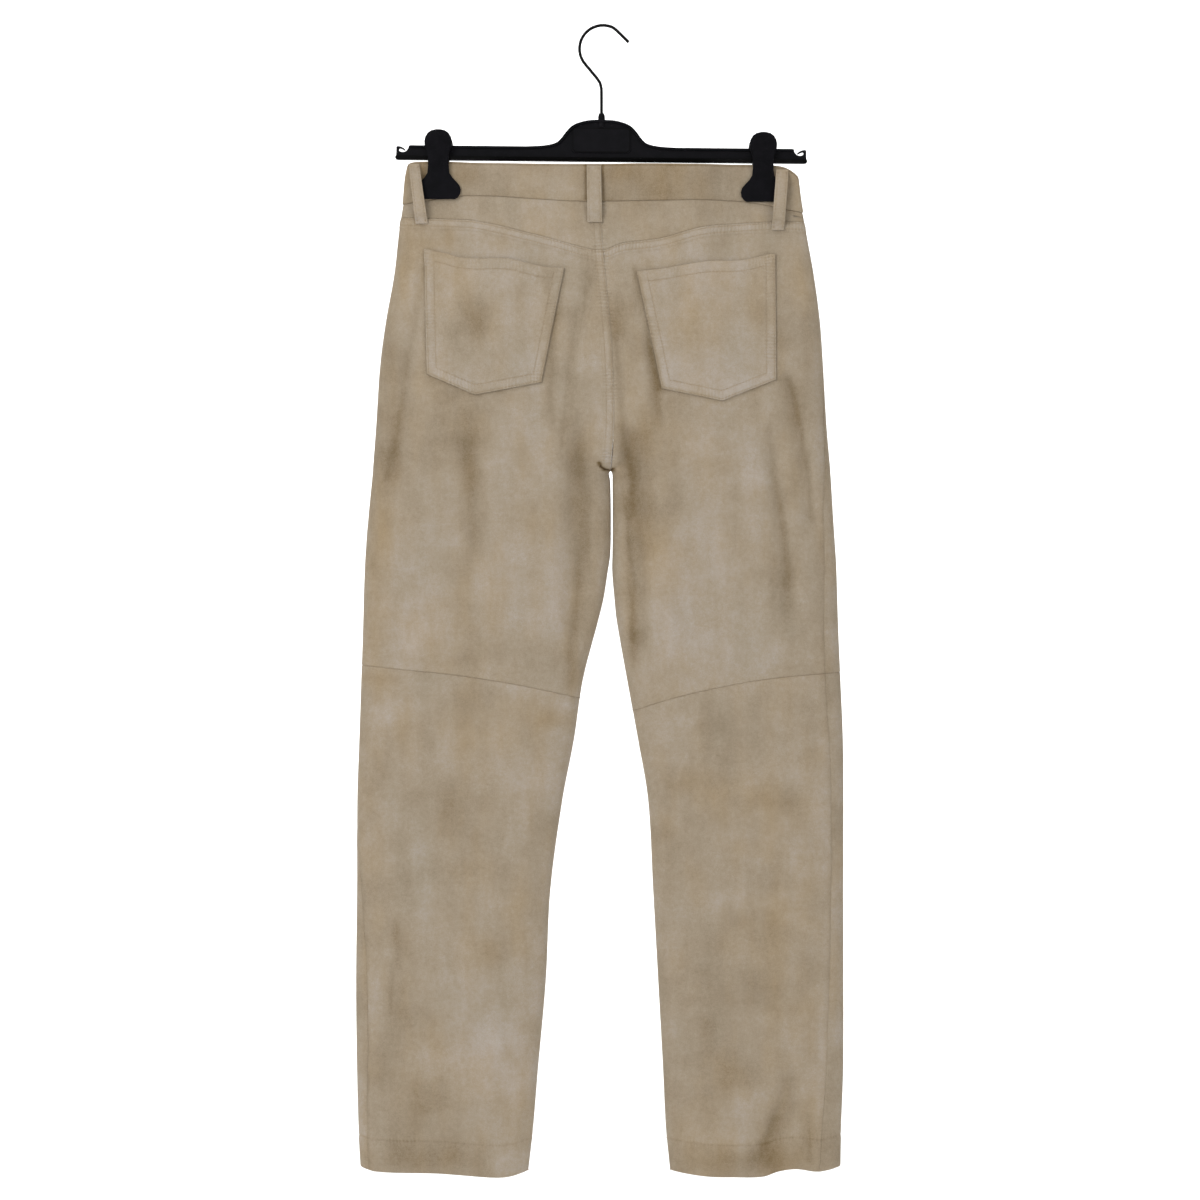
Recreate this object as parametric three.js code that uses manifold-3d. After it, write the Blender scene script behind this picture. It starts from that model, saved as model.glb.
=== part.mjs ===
// Suede trousers hung by the waistband from a black clip hanger. Millimetres, +Z up.
// The origin is the inside top of the hook, where the rail bears. The garment's back faces -Y.
// Left and right are as seen from the back, so left is -X.
import * as THREE from 'three'
import * as BufferGeometryUtils from 'three/addons/utils/BufferGeometryUtils.js'
import Module from 'manifold-3d'

const wasm = await Module()
wasm.setup()

// Driving sizes
const SEAM_GAP = 0.3 // between two pieces where they are sewn together
const LIFT = 0.5 // from a panel's face to the piece that lies on it
const SUEDE = 1.4 // one thickness of suede
const HEM_DEPTH = 32 // the turned-up hem, two thicknesses of suede
const BAND_THICK = 2.7 // the waistband, folded double
const BAND_PROUD = 0.6 // how far the waistband stands out past the yoke
const CROTCH_Z = -443 // where the two legs part
const SEAT_RISE = 46 // height over which the crotch seam rounds up to the full depth of the seat
const CLIP_X = [-163.3, 160.8] // the two clips, from the hanger's centre line
const CLIP_FLAT = 27 // half the width that a clip holds flat
const CLIP_RAMP = 42 // beyond that, where the waistband opens out again

// Sections down the garment. outer and inner are where each leg's cloth folds over, or the centre seam
// above the crotch. depth is half the thickness front to back, gripped the same under a clip, and edge
// says how square the fold at the side is.
const SECTIONS = [
  [-134, -193, -1, -1, 194, 10, 2.9, 26],
  [-150, -196.5, -1, -1, 196, 11, 2.9, 26],
  [-176, -199, -0.6, -0.6, 199.3, 12, 2.9, 26],
  [-203, -203, -0.2, -0.2, 204, 14, 6, 18],
  [-248, -208, 3.5, 3.5, 212, 18, 13, 9],
  [-293, -216, 8, 8, 218, 21, 19.5, 6],
  [-338, -222, 11, 11, 221, 22.5, 22.5, 5],
  [-398, -226, 12, 12, 224.5, 23, 23, 4],
  [-441, -229.2, 8.8, 8.8, 228.2, 22.6, 22.6, 4],
  [-443, -229.3, 8.6, 8.6, 228.3, 22.6, 22.6, 4],
  [-447, -229.6, 6.9, 10.3, 228.5, 22.5, 22.5, 4],
  [-454, -230.3, 8.3, 10.4, 229, 22.4, 22.4, 4],
  [-503, -235, 9, 10.6, 232, 21.5, 21.5, 4],
  [-529, -236.8, 8.2, 10.3, 233.8, 21.2, 21.2, 4],
  [-543, -237.5, 6.1, 10, 234.5, 21, 21, 4],
  [-571, -238.5, 1.8, 12.2, 235.4, 20.7, 20.7, 4],
  [-593, -239, -3.5, 14.5, 236, 20.5, 20.5, 4],
  [-653, -241, -19, 25, 238.5, 19.5, 19.5, 4],
  [-713, -243, -28, 36, 241, 19, 19, 4],
  [-773, -245, -39.5, 46, 241.5, 18.5, 18.5, 4],
  [-863, -245, -51.5, 51, 241.3, 17.5, 17.5, 4],
  [-953, -246, -56, 56, 241.5, 16.5, 16.5, 4],
  [-1043, -245, -64, 61, 241.2, 16, 16, 4],
  [-1103, -243.3, -69, 64, 239, 15.5, 15.5, 4],
  [-1152, -240.5, -74.5, 69, 238, 15.5, 15.5, 4],
].map(([z, leftOuter, leftInner, rightInner, rightOuter, depth, gripped, edge]) => (
  { z, leftOuter, leftInner, rightInner, rightOuter, depth, gripped, edge }
))

// Seams that run across the garment: the height of each at places along X.
const BAND_TOP = [
  { x: -197, z: -139 }, { x: -190, z: -136 }, { x: -176, z: -135.1 }, { x: -150, z: -135.3 },
  { x: -99, z: -137.6 }, { x: -8, z: -138.5 }, { x: 40, z: -137.8 }, { x: 91, z: -138.2 },
  { x: 139, z: -138.2 }, { x: 172, z: -139 }, { x: 184, z: -141.5 }, { x: 193, z: -147 }, { x: 198, z: -152 },
]
const BAND_SEAM = [
  { x: -200, z: -178.2 }, { x: -140, z: -169.5 }, { x: -99, z: -171.2 }, { x: -64, z: -173.8 },
  { x: -16, z: -176 }, { x: 40, z: -175.2 }, { x: 140, z: -175 }, { x: 184, z: -183 }, { x: 200, z: -186 },
]
const YOKE_SEAM = [
  { x: -206, z: -191 }, { x: -150, z: -193 }, { x: -130, z: -193.9 }, { x: -107, z: -199 },
  { x: -55, z: -212.1 }, { x: -11, z: -224 }, { x: 3, z: -224.6 }, { x: 19, z: -218.1 },
  { x: 57, z: -213.2 }, { x: 100, z: -201.5 }, { x: 126, z: -198.2 }, { x: 184, z: -195.1 },
  { x: 206, z: -196 },
]
const KNEE_SEAM_LEFT = [
  { x: -242, z: -638 }, { x: -191, z: -643.2 }, { x: -151, z: -647.2 }, { x: -110, z: -653.2 },
  { x: -66, z: -661.2 }, { x: -24, z: -670.7 },
]
const KNEE_SEAM_RIGHT = [
  { x: 32, z: -683.2 }, { x: 72, z: -670.7 }, { x: 107, z: -662.2 }, { x: 152, z: -653.7 },
  { x: 188, z: -649.2 }, { x: 239, z: -645.2 },
]
const HEM_LEFT = [
  { x: -241, z: -1139.5 }, { x: -226, z: -1142.8 }, { x: -166, z: -1144 }, { x: -142, z: -1145.7 },
  { x: -106, z: -1148.5 }, { x: -92, z: -1147.8 }, { x: -74, z: -1143.3 },
]
const HEM_RIGHT = [
  { x: 69, z: -1142.8 }, { x: 104, z: -1147.2 }, { x: 128, z: -1147.8 }, { x: 160, z: -1147.2 },
  { x: 176, z: -1142 }, { x: 194, z: -1139.8 }, { x: 216, z: -1142.7 }, { x: 238, z: -1139 },
]

// How far the side seam lies in from the side fold, on the back.
const SIDE_SEAM_LEFT = [
  { z: -130, inset: 0 }, { z: -790, inset: 0 }, { z: -823, inset: 2 }, { z: -874, inset: 6 },
  { z: -941, inset: 11.5 }, { z: -1018, inset: 12.5 }, { z: -1053, inset: 10.8 }, { z: -1155, inset: 8 },
]
const SIDE_SEAM_RIGHT = [
  { z: -130, inset: 0 }, { z: -300, inset: 0.5 }, { z: -375, inset: 2 }, { z: -443, inset: 6 },
  { z: -493, inset: 10.5 }, { z: -643, inset: 16 }, { z: -733, inset: 14 }, { z: -833, inset: 12.5 },
  { z: -973, inset: 15.5 }, { z: -1073, inset: 19 }, { z: -1155, inset: 22 },
]

// The largest folds of the hanging cloth, each a trough between two or more places. rise is out of the
// face.
const FOLDS = [
  { name: 'left crotch trough', face: -1, from: [-20, -405], to: [-25, -600], width: 14, rise: -5 },
  { name: 'left crotch ridge', face: -1, from: [-46, -420], to: [-50, -600], width: 16, rise: 2.5 },
  { name: 'right crotch trough', face: -1, from: [30, -410], to: [36, -610], width: 12, rise: -5 },
  { name: 'right crotch ridge', face: -1, from: [58, -420], to: [62, -600], width: 16, rise: 2.5 },
  { name: 'left side drag', face: -1, from: [-196, -330], to: [-208, -450], width: 12, rise: -3 },
  { name: 'right side drag', face: -1, from: [188, -360], to: [209, -500], width: 11, rise: -3.5 },
  { name: 'right thigh drag', face: -1, from: [170, -410], to: [184, -590], width: 12, rise: -3.5 },
  { name: 'left thigh hollow', face: -1, from: [-134, -395], to: [-124, -530], width: 18, rise: -2.5 },
  { name: 'right hem drag', face: -1, from: [190, -1050], to: [162, -1125], width: 12, rise: -3.5 },
  { name: 'front left crotch trough', face: 1, from: [-22, -410], to: [-40, -590], width: 15, rise: -5 },
  { name: 'front right crotch trough', face: 1, from: [38, -410], to: [52, -590], width: 15, rise: -5 },
  { name: 'front left drag', face: 1, from: [-150, -300], to: [-90, -420], width: 16, rise: -2.5 },
  { name: 'front right drag', face: 1, from: [152, -300], to: [96, -430], width: 16, rise: -2.5 },
  { name: 'front left knee', face: 1, from: [-190, -690], to: [-100, -720], width: 18, rise: -3 },
  { name: 'front right knee', face: 1, from: [100, -710], to: [190, -690], width: 18, rise: -3 },
]

// Small helpers
const clamp = (value, low, high) => Math.min(high, Math.max(low, value))
const lerp = (a, b, t) => a + (b - a) * t
const smooth = (t) => clamp(t, 0, 1) ** 2 * (3 - 2 * clamp(t, 0, 1))

// A smooth curve through the rows of a table, which are in order of their first column.
function along(table, across, column, at) {
  const step = Math.sign(table[1][across] - table[0][across])
  const last = table.length - 1
  if ((at - table[0][across]) * step <= 0) return table[0][column]
  if ((at - table[last][across]) * step >= 0) return table[last][column]
  const i = table.findIndex((row, k) => k > 0 && (row[across] - at) * step > 0) - 1
  const slope = (k) => {
    const a = table[Math.max(0, k - 1)]
    const b = table[Math.min(last, k + 1)]
    return (b[column] - a[column]) / (b[across] - a[across])
  }
  const span = table[i + 1][across] - table[i][across]
  const t = (at - table[i][across]) / span
  const start = table[i][column] * (1 + 2 * t) * (1 - t) ** 2 + slope(i) * span * t * (1 - t) ** 2
  const end = table[i + 1][column] * t * t * (3 - 2 * t) - slope(i + 1) * span * t * t * (1 - t)
  return start + end
}
const section = (column, z) => along(SECTIONS, 'z', column, z)

// How far a place is from the straight line of a fold.
function offFold(fold, x, z) {
  const [dx, dz] = [fold.to[0] - fold.from[0], fold.to[1] - fold.from[1]]
  const t = clamp(((x - fold.from[0]) * dx + (z - fold.from[1]) * dz) / (dx * dx + dz * dz), 0, 1)
  return Math.hypot(x - fold.from[0] - t * dx, z - fold.from[1] - t * dz)
}

// The rise of all folds on one face, where face is -1 for the back and 1 for the front.
function creased(face, x, z) {
  return FOLDS.filter((fold) => fold.face === face).reduce(
    (sum, fold) => sum + fold.rise * Math.exp(-((offFold(fold, x, z) / fold.width) ** 2)),
    0,
  )
}

// 1 where a clip holds the cloth flat, falling to 0 between the clips.
function gripAt(x) {
  const off = Math.min(...CLIP_X.map((clip) => Math.abs(x - clip)))
  const past = Math.abs(x) > Math.abs(CLIP_X[0]) ? 0 : (off - CLIP_FLAT) / CLIP_RAMP
  return 1 - smooth(past)
}

// A place on one leg's cloth. side is -1 for the left leg and 1 for the right. The angle runs round the
// leg, 0 at the inner edge of the back, PI at the side fold and 2 PI at the inner edge of the front. inset
// is how far the place lies inside the outer face.
function place(side, angle, z, inset = 0) {
  const name = side < 0 ? 'left' : 'right'
  const joined = z > CROTCH_Z
  const outer = section(`${name}Outer`, z) - side * inset
  const wallLeft = joined ? clamp(1 - (z - CROTCH_Z) / SUEDE, 0, 1) : 1
  const inner = section(`${name}Inner`, z) + side * (SEAM_GAP / 2 + wallLeft * inset)
  const middle = (outer + inner) / 2
  const half = (inner - outer) / 2
  const s = Math.cos(angle)
  const x = middle + half * s
  const rise = clamp((z - CROTCH_Z - inset) / SEAT_RISE, 0, 1)
  const seat = Math.sqrt(1 - (1 - rise) ** 2)
  const power = s < 0 ? section('edge', z) : 4
  const round = s < 0
    ? Math.sqrt(1 - Math.abs(s) ** power)
    : (seat ** 4 + (1 - seat ** 4) * (1 - s ** power) ** 2) ** 0.25
  const face = angle < Math.PI ? -1 : 1
  const depth = lerp(section('depth', z), section('gripped', z), gripAt(x)) + creased(face, x, z)
  return new THREE.Vector3(x, face * round * Math.max(depth - inset, 0.3), z)
}

// The angle at which a leg's cloth lies at x, on the back or the front.
function angleAt(side, x, z, face = -1, inset = 0) {
  const name = side < 0 ? 'left' : 'right'
  const outer = section(`${name}Outer`, z) - side * inset
  const inner = section(`${name}Inner`, z)
  const s = clamp((x - (outer + inner) / 2) / ((inner - outer) / 2), -1, 1)
  return face < 0 ? Math.acos(s) : 2 * Math.PI - Math.acos(s)
}

// The angle that moves a place by half a seam's gap.
function halfGap(side, angle, z) {
  const step = 0.01
  const speed = place(side, angle + step, z).distanceTo(place(side, angle, z)) / step
  return SEAM_GAP / 2 / speed * 1.1
}

// The angle at which a panel begins at a leg's inner edge. Above the crotch the gap is in the sections.
function innerEdge(side, z) {
  return z > CROTCH_Z ? 0 : halfGap(side, 0, z)
}

// The angle of the side seam.
function sideSeam(side, z) {
  const name = side < 0 ? 'left' : 'right'
  const half = Math.abs(section(`${name}Inner`, z) - section(`${name}Outer`, z)) / 2
  const inset = along(side < 0 ? SIDE_SEAM_LEFT : SIDE_SEAM_RIGHT, 'z', 'inset', z)
  return Math.PI - Math.acos(1 - Math.max(inset, 0) / half)
}

// Closed walls
// A closed body from a grid of outer points and the grid of inner points behind it, both [column][row].
// A ring has no edge between its last and first column.
function wall(outer, inner, ring = false) {
  const columns = outer.length
  const rows = outer[0].length
  const points = [...outer.flat(), ...inner.flat()]
  const at = (layer, i, j) => layer * columns * rows + (i % columns) * rows + j
  const faces = []
  const quad = (a, b, c, d) => faces.push(a, b, c, a, c, d)
  for (let i = 0; i < (ring ? columns : columns - 1); i++) {
    for (let j = 0; j < rows - 1; j++) {
      quad(at(0, i, j), at(0, i + 1, j), at(0, i + 1, j + 1), at(0, i, j + 1))
      quad(at(1, i, j), at(1, i, j + 1), at(1, i + 1, j + 1), at(1, i + 1, j))
    }
    quad(at(0, i, 0), at(1, i, 0), at(1, i + 1, 0), at(0, i + 1, 0))
    quad(at(0, i, rows - 1), at(0, i + 1, rows - 1), at(1, i + 1, rows - 1), at(1, i, rows - 1))
  }
  for (let j = 0; j < rows - 1 && !ring; j++) {
    quad(at(0, 0, j), at(0, 0, j + 1), at(1, 0, j + 1), at(1, 0, j))
    quad(at(0, columns - 1, j), at(1, columns - 1, j), at(1, columns - 1, j + 1), at(0, columns - 1, j + 1))
  }
  return closed(points, faces)
}

// A geometry from points and the corners of triangles, turned so that its faces point out.
function closed(points, faces) {
  let volume = 0
  for (let i = 0; i < faces.length; i += 3) {
    const [a, b, c] = [points[faces[i]], points[faces[i + 1]], points[faces[i + 2]]]
    volume += a.dot(new THREE.Vector3().crossVectors(b, c))
  }
  if (volume < 0) faces.reverse()
  const geometry = new THREE.BufferGeometry().setFromPoints(points)
  geometry.setIndex(faces)
  geometry.computeVertexNormals()
  return geometry
}

// A solid for joining and cutting, and back again.
function solid(geometry) {
  const bare = geometry.clone()
  bare.deleteAttribute('normal')
  bare.deleteAttribute('uv')
  const merged = BufferGeometryUtils.mergeVertices(bare, 1e-4)
  return new wasm.Manifold(new wasm.Mesh({
    numProp: 3,
    vertProperties: new Float32Array(merged.attributes.position.array),
    triVerts: new Uint32Array(merged.index.array),
  }))
}
function shaped(body) {
  const mesh = body.getMesh()
  const geometry = new THREE.BufferGeometry()
  geometry.setAttribute('position', new THREE.BufferAttribute(new Float32Array(mesh.vertProperties), 3))
  geometry.setIndex(Array.from(mesh.triVerts))
  geometry.computeVertexNormals()
  return geometry
}

// Materials
const cloth = (hex) => new THREE.MeshStandardMaterial({ color: hex, roughness: 0.95, metalness: 0 })
const suede = cloth(0xa79682)
const suedeDark = cloth(0x9a886f)
const suedeLight = cloth(0xb0a08b)
const blackPlastic = new THREE.MeshStandardMaterial({ color: 0x1b1a1e, roughness: 0.45, metalness: 0 })
const blackWire = new THREE.MeshStandardMaterial({ color: 0x101012, roughness: 0.35, metalness: 0.6 })
const steel = new THREE.MeshStandardMaterial({ color: 0x8d8f92, roughness: 0.35, metalness: 1 })
const brass = new THREE.MeshStandardMaterial({ color: 0x8a6f45, roughness: 0.4, metalness: 1 })

const trousers = new THREE.Group()
const hanger = new THREE.Group()
function add(group, name, geometry, material) {
  const mesh = new THREE.Mesh(geometry, material)
  mesh.name = name
  group.add(mesh)
  return mesh
}

// Panels One panel of a leg between two seams. rows holds its heights as shares of the way down: a share
// up to 1 is from the top seam to the crotch, and one from 1 to 2 from the crotch to the bottom seam, if
// it spans the crotch.
function panel(side, { from, to, top, bottom, rows, columns, spansCrotch = false, thick = () => SUEDE }) {
  const heightAt = (share, topZ, bottomZ) => {
    if (!spansCrotch) return lerp(topZ, bottomZ, share)
    return share <= 1 ? lerp(topZ, CROTCH_Z, share) : lerp(CROTCH_Z, bottomZ, share - 1)
  }
  const outer = []
  const inner = []
  for (let i = 0; i <= columns; i++) {
    const outerRow = []
    const innerRow = []
    for (const share of rows) {
      let z = heightAt(share, top(0), bottom(0))
      let angle = 0
      for (let pass = 0; pass < 4; pass++) {
        angle = lerp(from(z), to(z), i / columns)
        const x = place(side, angle, z).x
        z = heightAt(share, top(x) - SEAM_GAP / 2, bottom(x) + SEAM_GAP / 2)
      }
      outerRow.push(place(side, angle, z))
      innerRow.push(place(side, angle, z, thick(share)))
    }
    outer.push(outerRow)
    inner.push(innerRow)
  }
  return wall(outer, inner)
}

const backFrom = (side) => (z) => innerEdge(side, z)
const backTo = (side) => (z) => sideSeam(side, z) - halfGap(side, sideSeam(side, z), z)
const frontFrom = (side) => (z) => sideSeam(side, z) + halfGap(side, sideSeam(side, z), z)
const frontTo = (side) => (z) => 2 * Math.PI - innerEdge(side, z)
const height = (table) => (x) => along(table, 'x', 'z', x)

const THIGH_ROWS = [
  0, 0.1, 0.2, 0.32, 0.46, 0.6, 0.74, 0.85, 0.93, 0.985, 1,
  1.02, 1.055, 1.12, 1.22, 1.36, 1.52, 1.68, 1.84, 2,
]
const SHIN_LENGTH = 500
const HEM_SHARE = 1 - HEM_DEPTH / SHIN_LENGTH
const SHIN_ROWS = [0, 0.08, 0.18, 0.3, 0.44, 0.58, 0.72, 0.84, HEM_SHARE - 0.006, HEM_SHARE + 0.006, 0.97, 1]
const hemmed = (share) => (share > HEM_SHARE ? 2 * SUEDE : SUEDE)

for (const side of [-1, 1]) {
  const hand = side < 0 ? 'left' : 'right'
  const knee = side < 0 ? KNEE_SEAM_LEFT : KNEE_SEAM_RIGHT
  const hem = side < 0 ? HEM_LEFT : HEM_RIGHT
  const back = { from: backFrom(side), to: backTo(side) }
  const front = { from: frontFrom(side), to: frontTo(side) }
  const yoke = { top: height(BAND_SEAM), bottom: height(YOKE_SEAM), rows: [0, 0.5, 1], columns: 16 }
  const thigh = { bottom: height(knee), rows: THIGH_ROWS, spansCrotch: true }
  const shin = { top: height(knee), bottom: height(hem), rows: SHIN_ROWS, thick: hemmed }
  add(trousers, `yoke_${hand}`, panel(side, { ...back, ...yoke }), suede)
  const backThigh = { ...back, ...thigh, top: height(YOKE_SEAM), columns: 16 }
  const frontThigh = { ...front, ...thigh, top: height(BAND_SEAM), columns: 14 }
  add(trousers, `back_thigh_${hand}`, panel(side, backThigh), suede)
  add(trousers, `back_shin_${hand}`, panel(side, { ...back, ...shin, columns: 12 }), suede)
  add(trousers, `front_thigh_${hand}`, panel(side, frontThigh), suedeDark)
  add(trousers, `front_shin_${hand}`, panel(side, { ...front, ...shin, columns: 12 }), suedeDark)
}

// Waistband: one strip from its under end, round the back, to its over end, which lies over the under end
// in front.
const OVERLAP = 36 // how far the under end reaches past the centre
const OVER_LIFT = BAND_THICK + LIFT // how far the over end stands out
const OVER_END = 5 // how far the over end reaches past the centre
const STRIP_COLUMNS = 22

function waistband() {
  const middle = section('leftInner', -150)
  const frontX = (x) => ({ side: x < middle ? -1 : 1, x })
  const stops = []
  for (const x of [-OVERLAP, -OVERLAP / 2]) stops.push({ ...frontX(middle + x), lift: 0 })
  for (let i = 0; i <= STRIP_COLUMNS * 2; i++) {
    stops.push({ side: 1, angle: 2 * Math.PI - (i / (STRIP_COLUMNS * 2)) * 2 * Math.PI, lift: 0 })
  }
  for (let i = 1; i <= STRIP_COLUMNS * 2; i++) {
    stops.push({ side: -1, angle: (i / (STRIP_COLUMNS * 2)) * 2 * Math.PI, lift: 1 })
  }
  stops.push({ ...frontX(middle + OVER_END), lift: 1 })
  const rows = [0, 0.33, 0.67, 1]
  const grid = (inset) => stops.map((stop) => rows.map((share) => {
    let z = -155
    let point
    for (let pass = 0; pass < 4; pass++) {
      const angle = stop.angle ?? angleAt(stop.side, stop.x, z, 1)
      point = place(stop.side, angle, z, inset - BAND_PROUD)
      z = lerp(height(BAND_TOP)(point.x), height(BAND_SEAM)(point.x) + SEAM_GAP / 2, share)
    }
    const over = stop.lift && point.y > 0 ? smooth((point.x - middle + OVERLAP * 2.2) / (OVERLAP * 1.1)) : 0
    point.y += over * OVER_LIFT
    return point
  }))
  return wall(grid(0), grid(BAND_THICK))
}
add(trousers, 'waistband', waistband(), suedeLight)

// Pieces that lie on a panel
// A patch between two sloping sides and two edges, moved out from the face that it lies on.
function patch({ side, face = -1, left, right, top, bottom, columns, rows, thick = SUEDE, lift = () => LIFT }) {
  const grid = (out) => columns.map((u) => rows.map((v) => {
    let z = lerp(top(lerp(left(0), right(0), u)), bottom(lerp(left(0), right(0), u)), v)
    let x = 0
    for (let pass = 0; pass < 4; pass++) {
      x = lerp(left(v), right(v), u)
      z = lerp(top(x), bottom(x), v)
    }
    const hand = side ?? (x < section('leftInner', z) ? -1 : 1)
    const inset = -lift(v) - out
    return place(hand, angleAt(hand, x, z, face, inset), z, inset)
  }))
  return wall(grid(thick), grid(0))
}
const even = (count) => Array.from({ length: count + 1 }, (unused, i) => i / count)

// Pockets: each a five-sided patch whose foot comes to a point.
const POCKET_LIFT = 0.8
const POCKETS = [
  {
    name: 'pocket_left', side: -1, left: [-177.4, -173.8], right: [-37.3, -60.1], point: -126.2,
    top: [
      { x: -177.8, z: -222.9 }, { x: -156, z: -227.7 }, { x: -143, z: -231.5 }, { x: -123, z: -233.1 },
      { x: -104, z: -233 }, { x: -90, z: -234.2 }, { x: -60.6, z: -241.3 }, { x: -36.8, z: -243.2 },
    ],
    bottom: [{ x: -173.8, z: -349 }, { x: -126.2, z: -369.6 }, { x: -59.6, z: -357.2 }],
  },
  {
    name: 'pocket_right', side: 1, left: [34.3, 59.1], right: [172.8, 172.8], point: 119.2,
    top: [
      { x: 33.8, z: -246.4 }, { x: 61.6, z: -243.5 }, { x: 83.4, z: -239.6 }, { x: 107.3, z: -236 },
      { x: 138, z: -234.8 }, { x: 150, z: -232.6 }, { x: 166, z: -228.6 }, { x: 172.8, z: -228.6 },
    ],
    bottom: [{ x: 58.6, z: -363.1 }, { x: 119.2, z: -375.5 }, { x: 172.8, z: -354.5 }],
  },
]
const straight = (table) => (x) => {
  const i = clamp(table.findIndex((row) => row.x > x) - 1, 0, table.length - 2)
  const last = x >= table[table.length - 1].x ? table.length - 2 : i
  return lerp(table[last].z, table[last + 1].z, (x - table[last].x) / (table[last + 1].x - table[last].x))
}
for (const pocket of POCKETS) {
  const left = (v) => lerp(...pocket.left, v)
  const right = (v) => lerp(...pocket.right, v)
  const kink = (pocket.point - pocket.left[1]) / (pocket.right[1] - pocket.left[1])
  const columns = [...even(4).map((u) => u * kink), ...even(6).slice(1).map((u) => lerp(kink, 1, u))]
  const shape = { side: pocket.side, left, right, top: height(pocket.top), bottom: straight(pocket.bottom) }
  add(trousers, pocket.name, patch({ ...shape, columns, rows: even(10), lift: () => POCKET_LIFT }), suedeLight)
}

// Belt loops: straps sewn down at both ends and standing off between them.
const LOOP_THICK = 1.8
const LOOP_SEWN = 0.05 // the share of a loop's length that lies flat at each end
const LOOPS = [
  {
    name: 'loop_back_centre', face: -1, top: [-15.2, -1], foot: [-14.6, 0.4],
    topZ: -140.5, footZ: -197.2, bow: 3,
  },
  {
    name: 'loop_back_left', face: -1, top: [-193, -182.3], foot: [-186, -173.6],
    topZ: -137.6, footZ: -197.8, bow: 6.3,
  },
  {
    name: 'loop_back_right', face: -1, top: [173.8, 186.4], foot: [169, 181.6],
    topZ: -143.4, footZ: -204.4, bow: 6.3,
  },
  {
    name: 'loop_front_left', face: 1, top: [-112, -98], foot: [-112, -98],
    topZ: -140.8, footZ: -197, bow: 3,
  },
  {
    name: 'loop_front_right', face: 1, top: [96, 110], foot: [96, 110],
    topZ: -141.2, footZ: -199, bow: 3,
  },
]
for (const loop of LOOPS) {
  const left = (v) => lerp(loop.top[0], loop.foot[0], v)
  const right = (v) => lerp(loop.top[1], loop.foot[1], v)
  const lift = (v) => {
    const free = smooth((Math.min(v, 1 - v) - LOOP_SEWN) / 0.16)
    return BAND_PROUD + LIFT + free * loop.bow
  }
  const shape = { face: loop.face, left, right, top: () => loop.topZ, bottom: () => loop.footZ, lift }
  const rows = [0, 0.05, 0.09, 0.13, 0.17, 0.21, 0.4, 0.5, 0.6, 0.79, 0.83, 0.87, 0.91, 0.95, 1]
  add(trousers, loop.name, patch({ ...shape, columns: even(2), rows, thick: LOOP_THICK }), suedeLight)
}

// Fly placket, down the front from the waistband's seam, on the same side as its over end.
const FLY_WIDTH = 36
const FLY_FOOT = -335
const flyEdge = (v) => lerp(section('leftInner', -178), section('leftInner', -330), v) - 1
add(trousers, 'fly_placket', patch({
  side: -1, face: 1, columns: even(5), rows: even(10),
  left: (v) => flyEdge(v) - FLY_WIDTH, right: flyEdge,
  top: () => -178.5,
  bottom: (x) => FLY_FOOT + 22 * smooth((flyEdge(1) - 12 - x) / FLY_WIDTH) ** 1.5,
}), suedeDark)

// Button on the over end: a low dome on a short shank that stands on the waistband's face.
const BUTTON = { x: -13, z: -157, radius: 8.5, thick: 3.2, edge: 1.6 }
function button() {
  const profile = [
    [0, 0], [BUTTON.radius - 1.5, 0], [BUTTON.radius, 0.9], [BUTTON.radius, BUTTON.edge],
    [BUTTON.radius - 1.4, BUTTON.thick - 0.7], [BUTTON.radius - 3, BUTTON.thick], [0, BUTTON.thick - 0.4],
  ].map(([r, h]) => new THREE.Vector2(r, h))
  return new THREE.LatheGeometry(profile, 24)
}
const buttonAngle = angleAt(-1, BUTTON.x, BUTTON.z, 1)
const buttonBack = place(-1, buttonAngle, BUTTON.z, -BAND_PROUD).y + OVER_LIFT + LIFT + 0.3
add(trousers, 'button', button(), brass).position.set(BUTTON.x, buttonBack, BUTTON.z)

// Hanger The bar lies a little askew. Its own frame has u along it from the hanger's centre and v up from
// its lower edge.
const BAR = {
  x: -0.8, z: -135.1, tilt: 0.56 * Math.PI / 180, half: 205.8, high: 14.2,
  web: 2.4, flange: 5, rim: 2, lip: 3.9,
}
const barPoint = (u, v) => new THREE.Vector2(u, v)
// The height of the raised centre, at distances from the middle.
const CREST_AT = [
  { u: 0, v: 41.5 }, { u: 12, v: 41 }, { u: 20, v: 39.3 }, { u: 26, v: 37.2 },
  { u: 31, v: 34 }, { u: 35.5, v: 29 },
  { u: 39.5, v: 23.6 }, { u: 44, v: 19 }, { u: 50, v: 16.6 }, { u: 60, v: 15 }, { u: 75, v: BAR.high },
]
const crestCurve = new THREE.SplineCurve(CREST_AT.map(({ u, v }) => barPoint(u, v)))
const CREST = crestCurve.getPoints(24).map(({ x, y }) => ({ u: x, v: y }))
// The notch and the thin strap hook at each end, from the bar's corner out to the tip of its foot.
const BAR_END = [
  [192.4, 14.2], [193, 11.2], [195.4, 8.4], [198.6, 7.6], [201.4, 8.4], [202.3, 10.4], [201.4, 11.5],
  [198.8, 10.7], [196.4, 9.2], [195.6, 10.1], [197.6, 11.8], [200.4, 13.2], [203.6, 13.6], [204.8, 12.8],
  [205, 4.6], [206.2, 2.4], [205, 0.5], [203, 0],
]

function barOutline() {
  const crest = CREST.slice(1).map(({ u, v }) => barPoint(u, v))
  const right = [...crest, ...BAR_END.map(([u, v]) => barPoint(u, v))]
  const left = right.map((p) => barPoint(-p.x, p.y)).reverse()
  return [...left, barPoint(0, CREST[0].v), ...right]
}

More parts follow.
